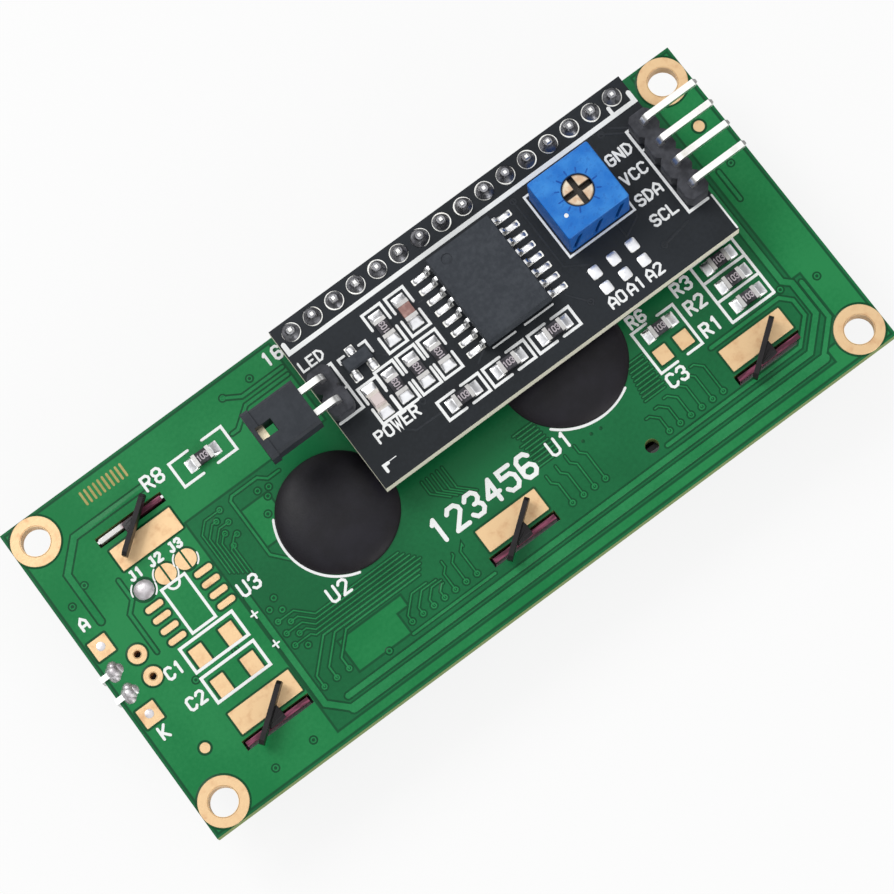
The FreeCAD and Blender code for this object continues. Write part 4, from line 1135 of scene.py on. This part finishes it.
# Interface board artwork
def slate_print():
    """White print of the interface board: part brackets, header outlines, and function labels."""
    relief = Relief()
    thick = 0.045
    line = 0.3

    def stroke(points, wide=line):
        ink(relief, [on_slate(u, v) for u, v in points], wide, SLATE_BED, thick)

    stroke([(-1.35, -0.6), (-1.35, -1.6), (39.6, -1.6), (39.6, -0.6)], 0.5)
    stroke([(37.15, -1.6), (37.15, -0.7)], 0.4)
    for u, v, upright in SLATE_CHIPS:
        length, gap = (4.55, 1.0) if upright else (4.8, 0.8)
        brackets(relief, *on_slate(u, v), length, 2.1, gap, upright, SLATE_BED, line, thick)
    brackets(relief, *on_slate(2.8, -10.45), 4.15, 2.15, 0.7, True, SLATE_BED, line, thick)
    stroke([(0.35, -4.75), (1.2, -4.75), (1.2, -10.05), (-1.5, -10.05)])
    stroke([(0.4, -7.5), (1.2, -7.5)], 0.24)
    stroke([(1.95, -5.45), (1.95, -4.95), (2.6, -4.95)], 0.28)
    stroke([(4.35, -4.95), (5.1, -4.95), (5.1, -6.2)], 0.28)
    stroke([(37.6, -3.65), (37.1, -3.65), (37.1, -13.55), (39.3, -13.55)])
    stroke([(37.1, -6.05), (37.55, -6.05)], 0.24)
    stroke([(39.78, -13.5), (39.78, -17.5)], 0.2)
    stroke([(14.4, -12.9), (17.0, -12.9)], 0.2)
    stroke([(18.1, -12.9), (21.4, -12.9)], 0.2)
    half_x, half_y, _ = (case_high - case_low) / 2 + 0.28
    outline = box(screw_x - half_x, screw_y - half_y, screw_x + half_x, screw_y + half_y)
    ink(relief, outline, 0.24, SLATE_BED, thick, True)
    stroke([(-0.6, -16.45), (-0.6, -15.8), (-0.1, -15.8)], 0.34)
    stroke([(0.0, -15.72), (0.85, -15.72)], 0.1)
    words = [
        ("LED", -0.1, -3.4, 1.0, 0.23), ("POWER", 2.8, -13.3, 1.1, 0.25), ("GND", 35.2, -4.95, 1.08, 0.25),
        ("VCC", 35.2, -7.35, 1.08, 0.25), ("SDA", 35.1, -9.8, 1.08, 0.25), ("SCL", 35.05, -12.25, 1.08, 0.25),
        ("A0", 26.55, -16.2, 1.08, 0.25), ("A1", 28.75, -16.2, 1.08, 0.25), ("A2", 30.95, -16.2, 1.08, 0.25),
    ]
    for text, u, v, height, wide in words:
        label(relief, text, *on_slate(u, v), height, SLATE_BED, wide, thick, 0.62, 0.3)
    relief.piece("slate_print", "ink_white")


def slate_tracks():
    """Faint tracks and small plated holes under the dark lacquer, and the plated rings round the pins."""
    copper = Relief()
    high = slate_top + 0.03
    paths = [
        [(11.4, -5.1), (12.2, -5.1)], [(5.2, -6.6), (5.9, -7.3), (8.7, -7.65), (11.6, -7.65)],
        [(24.4, -2.4), (24.4, -10.6), (26.45, -11.9)],
        [(33.6, -2.4), (33.6, -3.9), (32.9, -10.9), (30.85, -11.9)],
        [(35.0, -2.3), (36.6, -3.4), (38.3, -4.5)], [(36.0, -2.3), (37.4, -3.3), (38.4, -4.3)],
        [(22.9, -12.9), (24.4, -14.9)], [(12.4, -13.2), (13.6, -12.5)],
        [(6.8, -14.9), (3.9, -14.9), (2.7, -13.9)], [(30.9, -10.6), (30.9, -12.0)],
        [(33.2, -14.7), (36.4, -14.2)],
    ]
    for path in paths:
        band(copper, [on_slate(u, v) for u, v in path], 0.26, SLATE_BED, high, 0.05)
    vias = ((24.4, -14.9), (6.0, -13.0), (12.0, -6.4), (24.4, -2.6),
            (35.0, -2.4), (33.3, -14.7), (13.0, -15.2))
    for u, v in vias:
        ring(copper, *on_slate(u, v), 0.14, 0.4, SLATE_BED, high + 0.015, 0.05, 20)
    copper.piece("slate_tracks", "track_slate")
    lands = Relief()
    for x in row_x:
        ring(lands, x, row_y, 0.5, 0.98, SLATE_BED, slate_top + PLATED, 0.04, 28)
    for places, hole in ((header_pin_places(), 0.5), (TRIMMER_PINS, 0.45)):
        for x, y in places:
            ring(lands, x, y, hole, 0.93, slate_under - PLATED, slate_under + SINK, 0.04, 24)
    lands.piece("slate_lands", "plating")


def trimmer_marks():
    """Moulded marks on the trimmer's top: short radial ticks and one pale dot."""
    top = case_high[2]
    ticks = Relief()
    for i in range(11):
        turn = math.radians(-60 + 30 * i)
        way = np.array([math.cos(turn), math.sin(turn)])
        ends = [(screw_x, screw_y) + reach * way for reach in (1.85 if i % 2 else 1.72, 2.15)]
        band(ticks, ends, 0.24, top - 0.02, top + 0.008, 0.06)
    ticks.piece("trimmer_ticks", "trimmer_tick")
    dot = Relief()
    disc(dot, screw_x - 2.35, screw_y - 1.35, 0.24, top - 0.02, top + 0.02, 0.05, 20)
    dot.piece("trimmer_dot", "ink_white")


def dress_nodes():
    """Gives every node that keeps its own shape its finish; a node's slot names its finish."""
    slots = {part["node"]: part["material_slot"] for part in frame["record"]["subparts"]}
    slots["rear_polariser"] = "rear_film"
    for name, node in frame["nodes"].items():
        node.data.materials.clear()
        node.data.materials.append(finishes[slots[name]].material)


# Floor, light and camera
def stage():
    """Pale floor just under the bezel; the camera sees it nearly white, and it keeps the object's shadow."""
    level = (bezel_low[2] - 0.01) * MM
    reach = 3.0
    mesh = bpy.data.meshes.new("floor")
    mesh.from_pydata([(x, y, level) for x, y in box(-reach, -reach, reach, reach)], [], [(0, 1, 2, 3)])
    floor = bpy.data.objects.new("floor", mesh)
    bpy.context.scene.collection.objects.link(floor)
    paper = Finish("floor_paper", tint(244, 244, 243), 0.9)
    glow = paper.node("ShaderNodeEmission", None, {"Color": (1, 1, 1, 1), "Strength": 1.0})[0]
    body = Value(paper, paper.shader.outputs[0])
    seen = paper.source("ShaderNodeLightPath", "Is Camera Ray")
    mixed = paper.node("ShaderNodeMixShader", None, [seen * 0.85, body, glow])[0]
    paper.tree.links.new(mixed.socket, paper.tree.nodes["Material Output"].inputs["Surface"])
    mesh.materials.append(paper.material)


def surround():
    """World light: an even grey falls on the object, and the camera sees white. Gloss sees white overhead
    and at the horizon, with a dark ring between, which gives curved metal its contrast."""
    sky_level = 0.54
    ring_dark = 0.88
    world = bpy.data.worlds.new("surround")
    bpy.context.scene.world = world
    world.use_nodes = True
    sky = Nodes(world.node_tree)
    _, _, up = sky.node("ShaderNodeSeparateXYZ", None, [sky.source("ShaderNodeTexCoord", "Generated")])
    dark_ring = up.ramp(0.12, 0.25) * (1.0 - up.ramp(0.55, 0.75))
    gloss, camera_ray, through = (sky.source("ShaderNodeLightPath", f"Is {kind} Ray")
                                  for kind in ("Glossy", "Camera", "Transmission"))
    seen = sky.larger(sky.larger(camera_ray, through), gloss)
    strength = seen * (1.0 - gloss * dark_ring * ring_dark) + (1.0 - seen) * sky_level
    ground = sky.tree.nodes["Background"]
    ground.inputs["Color"].default_value = (0.98, 0.99, 1.0, 1.0)
    sky.tree.links.new(strength.socket, ground.inputs["Strength"])


def lamp(name, place, power):
    """Square soft lamp, its place in millimetres and its power in watts, turned to the object."""
    size = 220
    data = bpy.data.lights.new(name, "AREA")
    data.shape = "SQUARE"
    data.size = size * MM
    data.energy = power
    made = bpy.data.objects.new(name, data)
    made.location = Vector(place) * MM
    made.rotation_mode = "QUATERNION"
    made.rotation_quaternion = (-Vector(place)).to_track_quat("-Z", "Y")
    bpy.context.scene.collection.objects.link(made)


# The photograph's view, in millimetres of the board's frame; lens and sensor as Blender takes them
camera_place = Vector((-21.1, -65.1, 317.0))
camera_forward = Vector((0.0632, 0.1981, -0.9782))
camera_up = Vector((0.5926, 0.7811, 0.1965))
camera_lens = 136.9
camera_sensor = 36.0


def camera():
    """Camera at the photograph's place: its back points away from the aim, its top along the picture's up."""
    data = bpy.data.cameras.new("camera")
    data.lens = camera_lens
    data.sensor_width = camera_sensor
    data.clip_start = 0.005
    data.clip_end = 20.0
    made = bpy.data.objects.new("camera", data)
    back = -camera_forward.normalized()
    right = camera_up.cross(back).normalized()
    turned = Matrix((right, back.cross(right), back)).transposed().to_4x4()
    made.matrix_world = Matrix.Translation(camera_place * MM) @ turned
    bpy.context.scene.collection.objects.link(made)
    bpy.context.scene.camera = made


camera()
stage()
surround()
lamp("key", (-110, 280, 340), 0.87)
lamp("fill", (60, -320, 130), 0.38)
bpy.context.scene.view_settings.view_transform = "Standard"

main_tracks()
main_pads()
main_print()
far_side()
potting()
pin_row_solder()
under_slate_solder()
chip_parts_solder()
resistor_values()
end_leads_solder()
gull_leads()
slate_print()
slate_tracks()
trimmer_marks()
dress_nodes()
